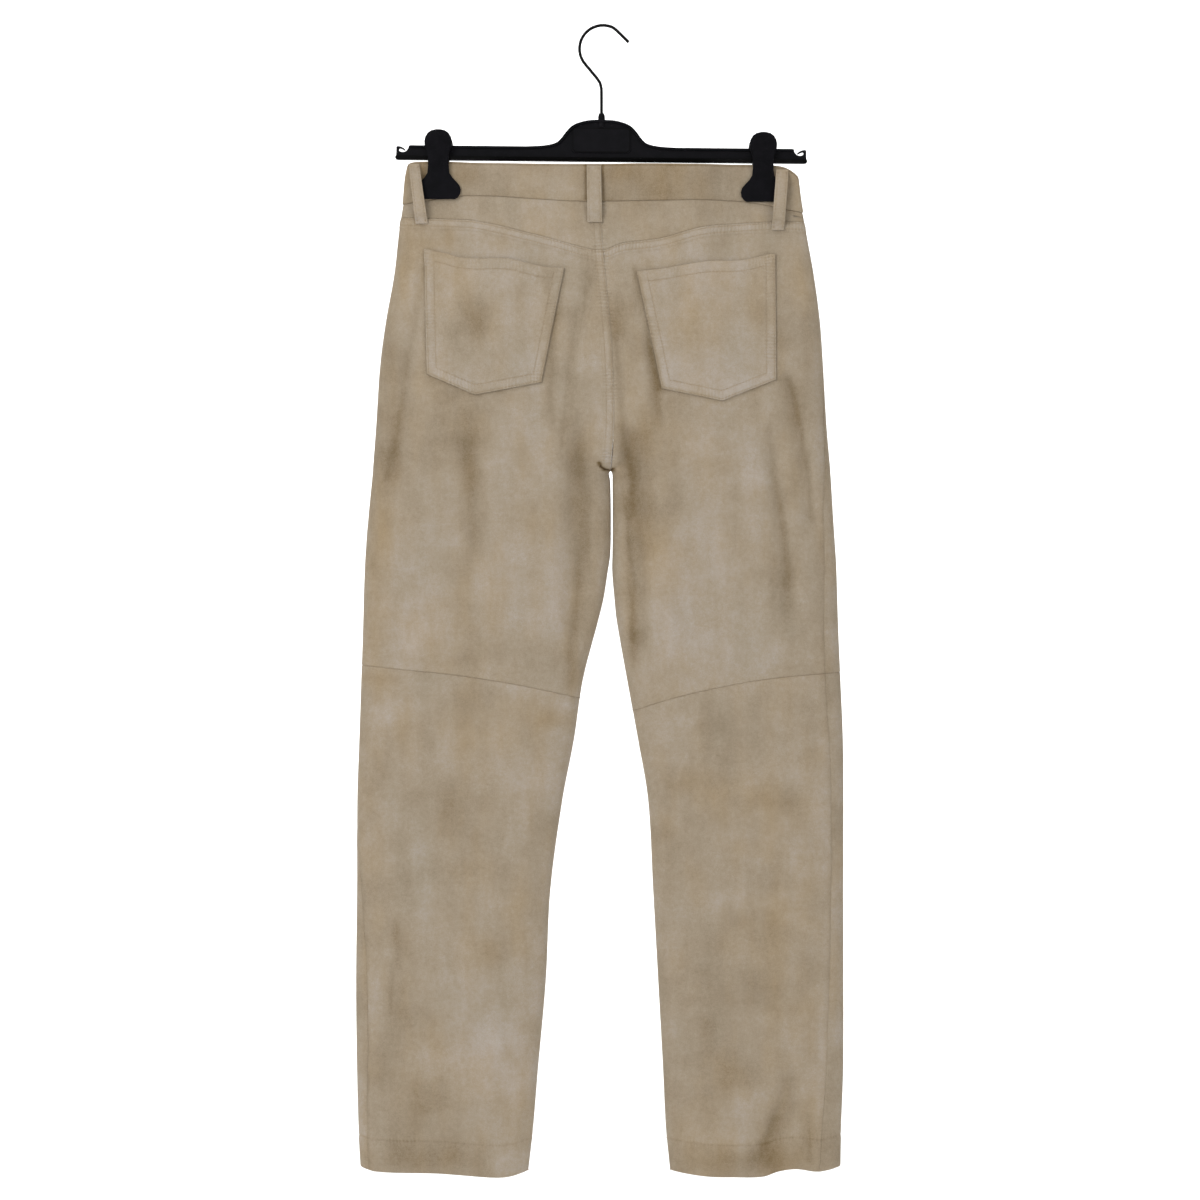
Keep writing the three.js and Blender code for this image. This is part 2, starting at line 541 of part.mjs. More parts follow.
// A plate of that outline, half as thick as given on each side of the hanger's plane, standing in the XZ
// plane.
function plate(outline, half) {
  const shape = new THREE.Shape(outline)
  const geometry = new THREE.ExtrudeGeometry(shape, { depth: 2 * half, bevelEnabled: false, curveSegments: 12 })
  geometry.translate(0, 0, -half)
  geometry.rotateX(Math.PI / 2)
  return geometry
}

// The two strips along the bar's upper edge, one on each side of the stem.
function rimStrip() {
  const upper = CREST.map(({ u, v }) => barPoint(u, v))
  const lower = CREST.map(({ u, v }, i) => {
    const a = CREST[Math.max(0, i - 1)]
    const b = CREST[Math.min(CREST.length - 1, i + 1)]
    const run = Math.hypot(b.u - a.u, b.v - a.v)
    return barPoint(u + (b.v - a.v) / run * BAR.rim * (i === 0 ? 0 : 1), v - (b.u - a.u) / run * BAR.rim)
  })
  const end = [barPoint(191, BAR.high), barPoint(191, BAR.high - BAR.rim)]
  const half = [...upper, ...end, ...lower.reverse()]
  const other = half.map((p) => barPoint(-p.x, p.y)).reverse()
  return [half, other]
}

const STEM = { x: -0.45, radius: 1.5, into: 7, clear: 0.4 }
function bar() {
  const foot = [barPoint(-202, 0), barPoint(202, 0), barPoint(202, BAR.lip), barPoint(-202, BAR.lip)]
  const lip = plate(foot, BAR.flange)
  const corners = lip.getAttribute('position')
  for (let i = 0; i < corners.count; i++) {
    if (corners.getZ(i) < 0.1) corners.setY(i, corners.getY(i) * 0.6)
  }
  let body = solid(plate(barOutline(), BAR.web)).add(solid(lip))
  for (const outline of rimStrip()) body = body.add(solid(plate(outline, BAR.flange)))
  const boss = new THREE.CylinderGeometry(4, 4, STEM.into, 20).rotateX(Math.PI / 2)
  boss.translate(0, 0, CREST[0].v - STEM.into / 2 - 0.2)
  const bore = STEM.radius + STEM.clear
  const hole = new THREE.CylinderGeometry(bore, bore, STEM.into * 2, 20)
  hole.rotateX(Math.PI / 2).translate(0, 0, CREST[0].v)
  return shaped(body.add(solid(boss)).subtract(solid(hole)))
}
function onBar(mesh) {
  mesh.position.set(BAR.x, 0, BAR.z)
  mesh.rotation.y = BAR.tilt
  return mesh
}
onBar(add(hanger, 'hanger_bar', bar(), blackPlastic))

// The plain plate on the raised centre.
const NAME_PLATE = { wide: 58, low: 8.8, high: 33.4, corner: 4, thick: 1.2 }
function namePlate() {
  const { wide, low, high, corner, thick } = NAME_PLATE
  const shape = new THREE.Shape()
  const w = wide / 2
  shape.moveTo(-w + corner, low).lineTo(w - corner, low)
  shape.absarc(w - corner, low + corner, corner, -Math.PI / 2, 0)
  shape.lineTo(w, high - corner).absarc(w - corner, high - corner, corner, 0, Math.PI / 2)
  shape.lineTo(-w + corner, high).absarc(-w + corner, high - corner, corner, Math.PI / 2, Math.PI)
  shape.lineTo(-w, low + corner).absarc(-w + corner, low + corner, corner, Math.PI, 1.5 * Math.PI)
  const geometry = new THREE.ExtrudeGeometry(shape, { depth: thick, bevelEnabled: false, curveSegments: 5 })
  return geometry.rotateX(Math.PI / 2).translate(0, -BAR.web - SEAM_GAP, 0)
}
onBar(add(hanger, 'hanger_plate', namePlate(), blackPlastic))

// Hook: a straight wire stem, a bend, a straight run out to the left and three quarters of a circle.
const HOOK = {
  centre: [1, -22], radius: 23.5, leave: 222, bend: [-1.6, -56], sides: 8,
  straightening: [[11.9, -1.3], [15.2, -4.2], [18.4, -7.3]], tail: [26.7, -15.5],
}
const COLLAR = { low: -93.2, high: -86.6, radius: 3.4 }
function hook() {
  const [cx, cz] = HOOK.centre
  const polar = (degrees) => {
    const a = degrees * Math.PI / 180
    return new THREE.Vector2(cx + HOOK.radius * Math.cos(a), cz + HOOK.radius * Math.sin(a))
  }
  const foot = BAR.z + CREST[0].v - STEM.into + 0.3
  const path = [new THREE.Vector2(STEM.x, foot), new THREE.Vector2(STEM.x, COLLAR.high)]
  path.push(new THREE.Vector2(STEM.x - 0.1, -62), new THREE.Vector2(HOOK.bend[0] - 0.4, HOOK.bend[1]))
  path.push(new THREE.Vector2(-5.4, -51))
  for (let degrees = HOOK.leave; degrees >= 69; degrees -= 9) path.push(polar(degrees))
  for (const [x, z] of [...HOOK.straightening, HOOK.tail]) path.push(new THREE.Vector2(x, z))
  return planarTube(path, STEM.radius, HOOK.sides)
}

// A round wire along a path in the XZ plane, with flat ends.
function planarTube(path, radius, sides) {
  const points = []
  const faces = []
  path.forEach((p, i) => {
    const a = path[Math.max(0, i - 1)]
    const b = path[Math.min(path.length - 1, i + 1)]
    const heading = new THREE.Vector2().subVectors(b, a).normalize()
    for (let k = 0; k < sides; k++) {
      const turn = (k + 0.5) / sides * 2 * Math.PI
      const out = Math.cos(turn) * radius / Math.cos(Math.PI / sides)
      const up = Math.sin(turn) * radius / Math.cos(Math.PI / sides)
      points.push(new THREE.Vector3(p.x - heading.y * out, up, p.y + heading.x * out))
    }
  })
  for (let i = 0; i < path.length - 1; i++) {
    for (let k = 0; k < sides; k++) {
      const [a, b] = [i * sides + k, i * sides + (k + 1) % sides]
      faces.push(a, b, b + sides, a, b + sides, a + sides)
    }
  }
  const last = (path.length - 1) * sides
  for (let k = 1; k < sides - 1; k++) {
    faces.push(0, k + 1, k)
    faces.push(last, last + k, last + k + 1)
  }
  return closed(points, faces)
}
add(hanger, 'hook', hook(), blackWire)

// The collar round the stem where it enters the bar.
function collar() {
  const bore = STEM.radius / Math.cos(Math.PI / HOOK.sides) + STEM.clear
  const { low, high, radius } = COLLAR
  const profile = [
    [bore, low], [radius, low], [radius + 0.1, low + 3], [radius - 0.5, high - 1], [radius - 1.1, high],
    [bore, high], [bore, low],
  ].map(([r, z]) => new THREE.Vector2(r, z))
  return new THREE.LatheGeometry(profile, 20).rotateX(Math.PI / 2)
}
add(hanger, 'hook_collar', collar(), blackPlastic).position.x = STEM.x

// Clips: two jaws astride the bar and a leaf spring between their pads. Heights are from the jaw's foot.
// half is the jaw's half width, and stand is how far its inner face stands from the hanger's plane.
const JAW = [
  { high: 0, half: 16.5, stand: 3.9, thick: 2.4 },
  { high: 1.4, half: 19, stand: 3.8, thick: 2.8 },
  { high: 5, half: 21.6, stand: 3.8, thick: 2.9 },
  { high: 9.5, half: 22.3, stand: 3.8, thick: 2.9 },
  { high: 13.5, half: 21, stand: 3.8, thick: 2.9 },
  { high: 17.5, half: 17.6, stand: 3.8, thick: 2.9 },
  { high: 21.5, half: 13.8, stand: 3.8, thick: 3 },
  { high: 26, half: 11, stand: 3.9, thick: 3.2 },
  { high: 33, half: 10.3, stand: 4.6, thick: 3.4 },
  { high: 38, half: 10.3, stand: 5.5, thick: 3.6 },
  { high: 45, half: 10.5, stand: 5.6, thick: 3.8 },
  { high: 50, half: 12.2, stand: 5.8, thick: 4 },
  { high: 53.4, half: 13.6, stand: 7, thick: 3.6, crown: 1 },
  { high: 57, half: 13.8, stand: 8.2, thick: 3.2, crown: 1.4 },
  { high: 61.2, half: 12.8, stand: 9.4, thick: 3, crown: 1.4 },
  { high: 65, half: 10.4, stand: 10.4, thick: 2.8, crown: 1.2 },
  { high: 67.4, half: 7, stand: 11.1, thick: 2.6, crown: 0.8 },
  { high: 68.5, half: 2.4, stand: 11.4, thick: 2.4 },
]
const CLIP_FOOT = [-172.9, -175.6]
function jaw(face) {
  const across = [-1, -0.6, 0, 0.6, 1]
  const crown = (u, row) => (row.crown ?? 0.5) * (1 - u * u) // the outer face is a little rounded
  const grid = (out) => across.map((u) => JAW.map((row) => {
    const y = row.stand + out * (row.thick - 0.5 + crown(u, row))
    return new THREE.Vector3(u * row.half, face * y, row.high)
  }))
  return wall(grid(1), grid(0))
}

// The spring: a strip of steel bent to a U that stands on the bar and presses the pads apart.
const SPRING = { wide: 12, thick: 0.8, foot: 0.3, reach: 7.3, high: 14 }
function spring(barTop) {
  const { thick, foot, reach, high } = SPRING
  const base = barTop + foot
  const tip = base + high
  const outside = [[-2.6, base], [2.6, base], [3.6, base + 0.8], [reach, tip], [reach - thick, tip]]
  const inside = [[2.9, base + 1.4], [2.3, base + thick], [-2.3, base + thick], [-2.9, base + 1.4]]
  const points = [...outside, ...inside, [-reach + thick, tip], [-reach, tip], [-3.6, base + 0.8]]
  const shape = new THREE.Shape(points.map(([y, z]) => new THREE.Vector2(y, z)))
  const geometry = new THREE.ExtrudeGeometry(shape, { depth: SPRING.wide, bevelEnabled: false })
  geometry.translate(0, 0, -SPRING.wide / 2)
  return geometry.rotateX(Math.PI / 2).rotateZ(Math.PI / 2)
}

CLIP_X.forEach((x, i) => {
  const hand = i ? 'right' : 'left'
  const barTop = BAR.z + BAR.high - (x - BAR.x) * Math.tan(BAR.tilt) + 0.1
  add(hanger, `clip_${hand}_back_jaw`, jaw(-1), blackPlastic).position.set(x, 0, CLIP_FOOT[i])
  add(hanger, `clip_${hand}_front_jaw`, jaw(1), blackPlastic).position.set(x, 0, CLIP_FOOT[i])
  add(hanger, `clip_${hand}_spring`, spring(barTop), steel).position.x = x
})

const part = new THREE.Group()
part.add(trousers, hanger)
export default part
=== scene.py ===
"""Suede trousers on a clip hanger, hung by the waistband and seen from the back.

Lengths in the tables are millimetres in the object's frame: +X to the right, +Z up from the hook, and the
back of the garment faces -Y. Left and right are as seen from the back.
"""
import math

import bmesh
import bpy
import numpy as np
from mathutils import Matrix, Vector


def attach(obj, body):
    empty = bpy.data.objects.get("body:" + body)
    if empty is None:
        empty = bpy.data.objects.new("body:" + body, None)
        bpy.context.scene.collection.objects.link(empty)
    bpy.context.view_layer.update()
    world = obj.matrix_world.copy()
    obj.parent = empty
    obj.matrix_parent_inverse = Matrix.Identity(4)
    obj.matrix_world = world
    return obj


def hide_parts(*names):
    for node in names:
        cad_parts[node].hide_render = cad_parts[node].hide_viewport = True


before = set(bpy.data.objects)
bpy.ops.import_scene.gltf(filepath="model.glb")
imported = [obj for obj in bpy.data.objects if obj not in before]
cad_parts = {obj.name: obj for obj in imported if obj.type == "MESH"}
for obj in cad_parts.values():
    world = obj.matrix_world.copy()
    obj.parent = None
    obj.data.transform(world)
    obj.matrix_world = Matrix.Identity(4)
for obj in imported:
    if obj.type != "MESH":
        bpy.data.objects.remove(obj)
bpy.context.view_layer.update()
MM = 0.001
LEFT, RIGHT = -1, 1
BACK, FRONT = -1, 1
HAND = {LEFT: "left", RIGHT: "right"}

# Driving sizes
SEAM_GAP = 0.06
SUEDE = 1.4
HEM_DEPTH = 32
BAND_THICK = 2.7
BAND_PROUD = 0.6
CROTCH_Z = -443
SEAT_RISE = 46
CLIP_X = (-163.3, 160.8)
CLIP_FLAT = 27
CLIP_RAMP = 42

# Sections down the garment: where each leg's cloth folds over or meets the centre seam, half the thickness
# front to back, the same under a clip, and how square the side fold is.
SECTION_COLUMNS = (
    "z", "left_outer", "left_inner", "right_inner", "right_outer", "depth", "gripped", "edge",
)
SECTIONS = (
    (-134, -193, -1, -1, 194, 10, 2.9, 26),
    (-150, -196.5, -1, -1, 196, 11, 2.9, 26),
    (-176, -199, -0.6, -0.6, 199.3, 12, 2.9, 26),
    (-203, -203, -0.2, -0.2, 204, 14, 6, 18),
    (-248, -208, 3.5, 3.5, 212, 18, 13, 9),
    (-293, -216, 8, 8, 218, 21, 19.5, 6),
    (-338, -222, 11, 11, 221, 22.5, 22.5, 5),
    (-398, -226, 12, 12, 224.5, 23, 23, 4),
    (-441, -229.2, 8.8, 8.8, 228.2, 22.6, 22.6, 4),
    (-443, -229.3, 8.6, 8.6, 228.3, 22.6, 22.6, 4),
    (-447, -229.6, 6.9, 10.3, 228.5, 22.5, 22.5, 4),
    (-454, -230.3, 8.3, 10.4, 229, 22.4, 22.4, 4),
    (-503, -235, 9, 10.6, 232, 21.5, 21.5, 4),
    (-529, -236.8, 8.2, 10.3, 233.8, 21.2, 21.2, 4),
    (-543, -237.5, 6.1, 10, 234.5, 21, 21, 4),
    (-571, -238.5, 1.8, 12.2, 235.4, 20.7, 20.7, 4),
    (-593, -239, -3.5, 14.5, 236, 20.5, 20.5, 4),
    (-653, -241, -19, 25, 238.5, 19.5, 19.5, 4),
    (-713, -243, -28, 36, 241, 19, 19, 4),
    (-773, -245, -39.5, 46, 241.5, 18.5, 18.5, 4),
    (-863, -245, -51.5, 51, 241.3, 17.5, 17.5, 4),
    (-953, -246, -56, 56, 241.5, 16.5, 16.5, 4),
    (-1043, -245, -64, 61, 241.2, 16, 16, 4),
    (-1103, -243.3, -69, 64, 239, 15.5, 15.5, 4),
    (-1152, -240.5, -74.5, 69, 238, 15.5, 15.5, 4),
)

# Seams that run across the garment, as places (x, z).
BAND_TOP = (
    (-197, -139), (-190, -136), (-176, -135.1), (-150, -135.3), (-99, -137.6), (-8, -138.5), (40, -137.8),
    (91, -138.2), (139, -138.2), (172, -139), (184, -141.5), (193, -147), (198, -152),
)
BAND_SEAM = (
    (-200, -178.2), (-140, -169.5), (-99, -171.2), (-64, -173.8), (-16, -176), (40, -175.2), (140, -175),
    (184, -183), (200, -186),
)
YOKE_SEAM = (
    (-206, -191), (-150, -193), (-130, -193.9), (-107, -199), (-55, -212.1), (-11, -224), (3, -224.6),
    (19, -218.1), (57, -213.2), (100, -201.5), (126, -198.2), (184, -195.1), (206, -196),
)
KNEE_SEAM = {
    LEFT: ((-242, -638), (-191, -643.2), (-151, -647.2), (-110, -653.2), (-66, -661.2), (-24, -670.7)),
    RIGHT: ((32, -683.2), (72, -670.7), (107, -662.2), (152, -653.7), (188, -649.2), (239, -645.2)),
}
HEM = {
    LEFT: (
        (-241, -1139.5), (-226, -1142.8), (-166, -1144), (-142, -1145.7), (-106, -1148.5), (-92, -1147.8),
        (-74, -1143.3),
    ),
    RIGHT: (
        (69, -1142.8), (104, -1147.2), (128, -1147.8), (160, -1147.2), (176, -1142), (194, -1139.8),
        (216, -1142.7), (238, -1139),
    ),
}
# How far the side seam lies in from the side fold, on the back, as (z, inset).
SIDE_SEAM = {
    LEFT: (
        (-1155, 8), (-1053, 10.8), (-1018, 12.5), (-941, 11.5), (-874, 6), (-823, 2), (-790, 0), (-130, 0),
    ),
    RIGHT: (
        (-1155, 22), (-1073, 19), (-973, 15.5), (-833, 12.5), (-733, 14), (-643, 16), (-493, 10.5),
        (-443, 6), (-375, 2), (-300, 0.5), (-130, 0),
    ),
}

# Folds of the hanging cloth, each along a line of places (x, z), with its width and its rise, which is below
# 0 in a trough. The large ones come first, and the small ones after them are only creases.
FOLDS = {
    BACK: (
        (((-20, -405), (-25, -600)), 14, -5), (((-46, -420), (-50, -600)), 16, 2.5),
        (((30, -410), (36, -610)), 12, -5), (((58, -420), (62, -600)), 16, 2.5),
        (((-196, -330), (-208, -450)), 12, -3), (((188, -360), (209, -500)), 11, -3.5),
        (((170, -410), (184, -590)), 12, -3.5), (((-134, -395), (-124, -530)), 18, -2.5),
        (((190, -1050), (162, -1125)), 12, -3.5),
        (((-177, -243), (-194, -343), (-202, -396), (-214, -453)), 6, -1.6),
        (((-15, -263), (-26, -330), (-33, -400)), 5, -1),
        (((-24, -280), (-34, -350), (-40, -420)), 5, -0.9), (((-40, -350), (-46, -420)), 6, -0.8),
        (((9, -271), (17, -333), (23, -373), (34, -443)), 6, -1.6),
        (((45, -312), (54, -378), (59, -401)), 6, -1.3),
        (((186, -353), (198, -403), (206, -451), (209, -493)), 6, -1.8),
        (((169, -407), (171, -446), (180, -500), (186, -548), (184, -581)), 6, -1.8),
        (((128, -440), (130, -520)), 14, -0.9), (((-30, -688), (-38, -700)), 6, -1.2),
        (((190, -1053), (173, -1089), (161, -1116)), 6, -1.4), (((205.5, -1086), (207, -1130)), 5, -1.2),
        (((-10, -442), (-14, -470)), 5, -1.2), (((18, -447), (22, -482), (25, -516), (32, -551)), 4, 0.9),
        (((-10, -442), (-14, -470)), 4, 0.6),
    ),
    FRONT: (
        (((-22, -410), (-40, -590)), 15, -5), (((38, -410), (52, -590)), 15, -5),
        (((-150, -300), (-90, -420)), 16, -2.5), (((152, -300), (96, -430)), 16, -2.5),
        (((-190, -690), (-100, -720)), 18, -3), (((100, -710), (190, -690)), 18, -3),
        (((-60, -420), (-120, -470)), 10, -1.2), (((70, -430), (130, -480)), 10, -1.2),
        (((-200, -350), (-212, -470)), 8, -1.6), (((200, -360), (214, -480)), 8, -1.6),
        (((-180, -1060), (-160, -1110)), 9, -1.4), (((120, -1070), (140, -1112)), 9, -1.4),
    ),
}


def smooth(t):
    t = np.clip(t, 0, 1)
    return t * t * (3 - 2 * t)


def hump(off, width):
    """1 at a line, falling to both sides of it."""
    return np.exp(-((off / width) ** 2))


def fade(off, width):
    """1 at an edge, falling away from it."""
    return np.exp(-off / width)


def curve(places, at):
    """A smooth curve through places (across, value), which rise or fall across."""
    xs, ys = np.array(sorted(places), float).T
    at = np.clip(np.asarray(at, float), xs[0], xs[-1])
    before = np.maximum(np.arange(len(xs)) - 1, 0)
    after = np.minimum(np.arange(len(xs)) + 1, len(xs) - 1)
    slope = (ys[after] - ys[before]) / (xs[after] - xs[before])
    i = np.clip(np.searchsorted(xs, at, side="right") - 1, 0, len(xs) - 2)
    span = xs[i + 1] - xs[i]
    t = (at - xs[i]) / span
    start = ys[i] * (1 + 2 * t) * (1 - t) ** 2 + slope[i] * span * t * (1 - t) ** 2
    end = ys[i + 1] * t * t * (3 - 2 * t) - slope[i + 1] * span * t * t * (1 - t)
    return start + end


SECTION_CURVES = {
    name: [(row[0], row[k]) for row in SECTIONS] for k, name in enumerate(SECTION_COLUMNS)
}


def section(column, z):
    return curve(SECTION_CURVES[column], z)


def off_line(line, x, z):
    """How far places are from a line of places."""
    best = np.full(np.shape(x), np.inf)
    for (ax, az), (bx, bz) in zip(line, line[1:]):
        dx, dz = bx - ax, bz - az
        t = np.clip(((x - ax) * dx + (z - az) * dz) / (dx * dx + dz * dz), 0, 1)
        best = np.minimum(best, np.hypot(x - ax - t * dx, z - az - t * dz))
    return best


def creased(face, x, z):
    """The rise of all folds, where face is BACK or FRONT at each place."""
    rise = np.zeros(np.shape(x))
    for side, folds in FOLDS.items():
        for line, width, height in folds:
            off = off_line(line, x, z)
            near = (face == side) & (off < 3 * width)
            rise = rise + np.where(near, height * hump(off, width), 0)
    return rise


def grip_at(x):
    """1 where a clip holds the cloth flat, falling to 0 between the clips."""
    off = np.minimum(np.abs(x - CLIP_X[0]), np.abs(x - CLIP_X[1]))
    past = np.where(np.abs(x) > abs(CLIP_X[0]), 0, (off - CLIP_FLAT) / CLIP_RAMP)
    return 1 - smooth(past)


def place(side, angle, z, inset=0.0):
    """Places on one leg's cloth, in millimetres: the angle runs round the leg, 0 at the inner edge of the
    back, pi at the side fold and 2 pi at the inner edge of the front. inset is how far inside they lie."""
    angle, z = np.broadcast_arrays(np.asarray(angle, float), np.asarray(z, float))
    hand = HAND[side]
    joined = z > CROTCH_Z
    outer = section(f"{hand}_outer", z) - side * inset
    wall_left = np.where(joined, np.clip(1 - (z - CROTCH_Z) / SUEDE, 0, 1), 1)
    inner = section(f"{hand}_inner", z) + side * (SEAM_GAP / 2 + wall_left * inset)
    s = np.cos(angle)
    x = (outer + inner) / 2 + (inner - outer) / 2 * s
    rise = np.clip((z - CROTCH_Z - inset) / SEAT_RISE, 0, 1)
    seat = np.sqrt(1 - (1 - rise) ** 2)
    power = np.where(s < 0, section("edge", z), 4)
    bulge = np.clip(1 - np.abs(s) ** power, 0, 1)
    rounding = np.where(s < 0, np.sqrt(bulge), (seat**4 + (1 - seat**4) * bulge**2) ** 0.25)
    face = np.where(angle < math.pi, BACK, FRONT)
    grip = grip_at(x)
    depth = section("depth", z) * (1 - grip) + section("gripped", z) * grip + creased(face, x, z)
    return np.stack([x, face * rounding * np.maximum(depth - inset, 0.3), z], axis=-1)


def angle_at(side, x, z, face=BACK, inset=0.0):
    """The angle at which a leg's cloth lies at x."""
    outer, inner = section(f"{HAND[side]}_outer", z) - side * inset, section(f"{HAND[side]}_inner", z)
    s = np.clip((x - (outer + inner) / 2) / ((inner - outer) / 2), -1, 1)
    return np.arccos(s) if face == BACK else 2 * math.pi - np.arccos(s)


def normal(side, angle, z):
    """The way out of the cloth."""
    step = 0.004
    across = place(side, angle + step, z) - place(side, angle - step, z)
    down = place(side, angle, z - 0.8) - place(side, angle, z + 0.8)
    out = np.cross(across, down)
    out /= np.maximum(np.linalg.norm(out, axis=-1, keepdims=True), 1e-9)
    face = np.where(angle < math.pi, BACK, FRONT)
    flip = np.sign(out[..., 1] * face + (np.abs(out[..., 1]) < 0.05) * out[..., 0] * side * 10)
    return out * np.where(flip == 0, 1, flip)[..., None]


def half_gap(side, angle, z):
    step = 0.01
    speed = np.linalg.norm(place(side, angle + step, z) - place(side, angle, z), axis=-1) / step
    return SEAM_GAP / 2 / np.maximum(speed, 1e-3) * 1.1


def inner_edge(side, z):
    return np.where(z > CROTCH_Z, 0, half_gap(side, np.zeros_like(z), z))


def side_seam(side, z):
    half = np.abs(section(f"{HAND[side]}_inner", z) - section(f"{HAND[side]}_outer", z)) / 2
    return math.pi - np.arccos(1 - np.maximum(curve(SIDE_SEAM[side], z), 0) / half)


def even(count):
    return np.linspace(0, 1, count + 1)


def to_edges(count):
    """Shares from 0 to 1 that are spread evenly over a leg's face, folds included."""
    u = even(count)
    return 0.5 * u + 0.5 * np.arccos(1 - 2 * u) / math.pi


def added(name, data):
    """A new object in the scene."""
    obj = bpy.data.objects.new(name, data)
    bpy.context.scene.collection.objects.link(obj)
    return obj


# Meshes
def mesh_object(name, points, faces, material, values=None):
    mesh = bpy.data.meshes.new(name)
    mesh.from_pydata([tuple(p) for p in np.asarray(points) * MM], [], [tuple(f) for f in faces])
    for key, numbers in (values or {}).items():
        numbers = np.ravel(numbers).astype(np.float32)
        mesh.attributes.new(key, "FLOAT", "POINT").data.foreach_set("value", numbers)
    mesh.materials.append(material)
    mesh.polygons.foreach_set("use_smooth", [True] * len(mesh.polygons))
    return added(name, mesh)


def grid_faces(columns, rows, start):
    i, j = np.meshgrid(np.arange(columns - 1), np.arange(rows - 1), indexing="ij")
    a = start + i * rows + j
    return np.stack([a, a + rows, a + rows + 1, a + 1], axis=-1).reshape(-1, 4)


def wall_object(name, outer, inner, material, values):
    """A closed wall from a grid of outer points and the inner points behind it, both [column, row]."""
    columns, rows = outer.shape[:2]
    count = columns * rows
    edge = []
    for a in range(0, count - rows, rows):
        b, foot = a + rows, a + rows - 1
        edge += [(a, a + count, b + count, b), (foot + rows, foot + rows + count, foot + count, foot)]
    for j in range(rows - 1):
        last = count - rows + j
        edge += [(j + 1, j + 1 + count, j + count, j), (last, last + count, last + 1 + count, last + 1)]
    points = np.concatenate([outer.reshape(-1, 3), inner.reshape(-1, 3)])
    faces = [grid_faces(columns, rows, 0), grid_faces(columns, rows, count)[:, ::-1], np.array(edge)]
    both = {key: np.tile(np.ravel(v), 2) for key, v in values.items()}
    obj = mesh_object(name, points, np.concatenate(faces), material, both)
    bm = bmesh.new()
    bm.from_mesh(obj.data)
    bmesh.ops.recalc_face_normals(bm, faces=bm.faces)
    bm.to_mesh(obj.data)
    bm.free()
    return obj


# Materials
def linear(red, green, blue):
    """A colour as seen, from 0 to 255, as the light that it reflects."""
    seen = (c / 255 for c in (red, green, blue))
    return tuple(((c + 0.055) / 1.055) ** 2.4 if c > 10 / 255 else c / 12.92 for c in seen)


class Shader:
    """A material with one Principled shader, and short ways to add nodes."""

    def __init__(self, name, **sockets):
        self.material = bpy.data.materials.new(name)
        self.material.use_nodes = True
        self.tree = self.material.node_tree
        self.bsdf = self.tree.nodes["Principled BSDF"]
        for key, value in sockets.items():
            self.bsdf.inputs[key.replace("_", " ")].default_value = value
        coordinates = self.tree.nodes.new("ShaderNodeTexCoord")
        self.place = coordinates.outputs["Object"]

    def node(self, kind, **sockets):
        node = self.tree.nodes.new(f"ShaderNode{kind}")
        for key, value in sockets.items():
            self.put(node.inputs[key.replace("_", " ")], value)
        return node

    def set(self, name, value):
        self.put(self.bsdf.inputs[name], value)

    def put(self, socket, value):
        if isinstance(value, bpy.types.NodeSocket):
            self.tree.links.new(value, socket)
        else:
            socket.default_value = value

    def moved(self, location=(0, 0, 0), scale=(1, 1, 1)):
        return self.node("Mapping", Vector=self.place, Location=location, Scale=scale).outputs[0]

    def noise(self, at, scale, detail, rough):
        return self.node("TexNoise", Vector=at, Scale=scale, Detail=detail, Roughness=rough).outputs["Fac"]

    def math(self, operation, a, b=0):
        node = self.tree.nodes.new("ShaderNodeMath")
        node.operation = operation
        self.put(node.inputs[0], a)
        self.put(node.inputs[1], b)
        return node.outputs[0]

    def plus(self, a, b):
        return self.math("ADD", a, b)

    def minus(self, a, b):
        return self.math("SUBTRACT", a, b)

    def times(self, a, b):
        return self.math("MULTIPLY", a, b)

    def clamped(self, value):
        return self.node("Clamp", Value=value).outputs[0]

    def ramp(self, value, stops):
        node = self.node("ValToRGB", Fac=value)
        ramp = node.color_ramp
        while len(ramp.elements) < len(stops):
            ramp.elements.new(0.5)
        for element, (at, colour) in zip(ramp.elements, stops):
            element.position = at
            element.color = (*colour, 1)
        return node.outputs[0]

    def mix(self, value, a, b, blend="MIX"):
        node = self.tree.nodes.new("ShaderNodeMix")
        node.data_type = "RGBA"
        node.blend_type = blend
        self.put(node.inputs[0], value)
        self.put(node.inputs[6], a)
        self.put(node.inputs[7], b)
        return node.outputs[2]

    def attribute(self, name):
        node = self.tree.nodes.new("ShaderNodeAttribute")
        node.attribute_name = name
        return node.outputs["Fac"]

    def bump(self, height, distance, under=None):
        node = self.node("Bump", Height=height, Distance=distance, Strength=1.0)
        if under is not None:
            self.put(node.inputs["Normal"], under)
        return node.outputs[0]


# The darkest stop is painted shade, reached under strong shade lines such as the crotch's crescent.
PAINTED_DEEP_SHADE = linear(58, 44, 30)
NAP_DARK = linear(110, 92, 64)
NAP_MID = linear(160, 146, 126)
NAP_LIGHT = linear(188, 180, 176)
TICK = 0.0034
WARM_TINT = (1.0, 0.935, 0.81, 1)
COOL_TINT = (0.955, 0.98, 1.0, 1)


# Layers of cloud in the suede's pile, as (how it is drawn out, scale, detail, roughness, share).
CLOUDS = (
    ("even", 7, 3, 0.55, 0.50), ("even", 24, 4, 0.6, 0.42), ("down", 55, 3, 0.55, 0.26),
    ("along", 60, 3, 0.6, 0.14), ("even", 260, 3, 0.65, 0.26), ("even", 1100, 2, 0.6, 0.34),
)


def ticks(s, axis, uneven):
    """Small ridges a stitch apart along an axis."""
    along = s.node("SeparateXYZ", Vector=s.place).outputs[axis]
    return s.math("SINE", s.plus(s.times(along, 2 * math.pi / TICK), uneven))


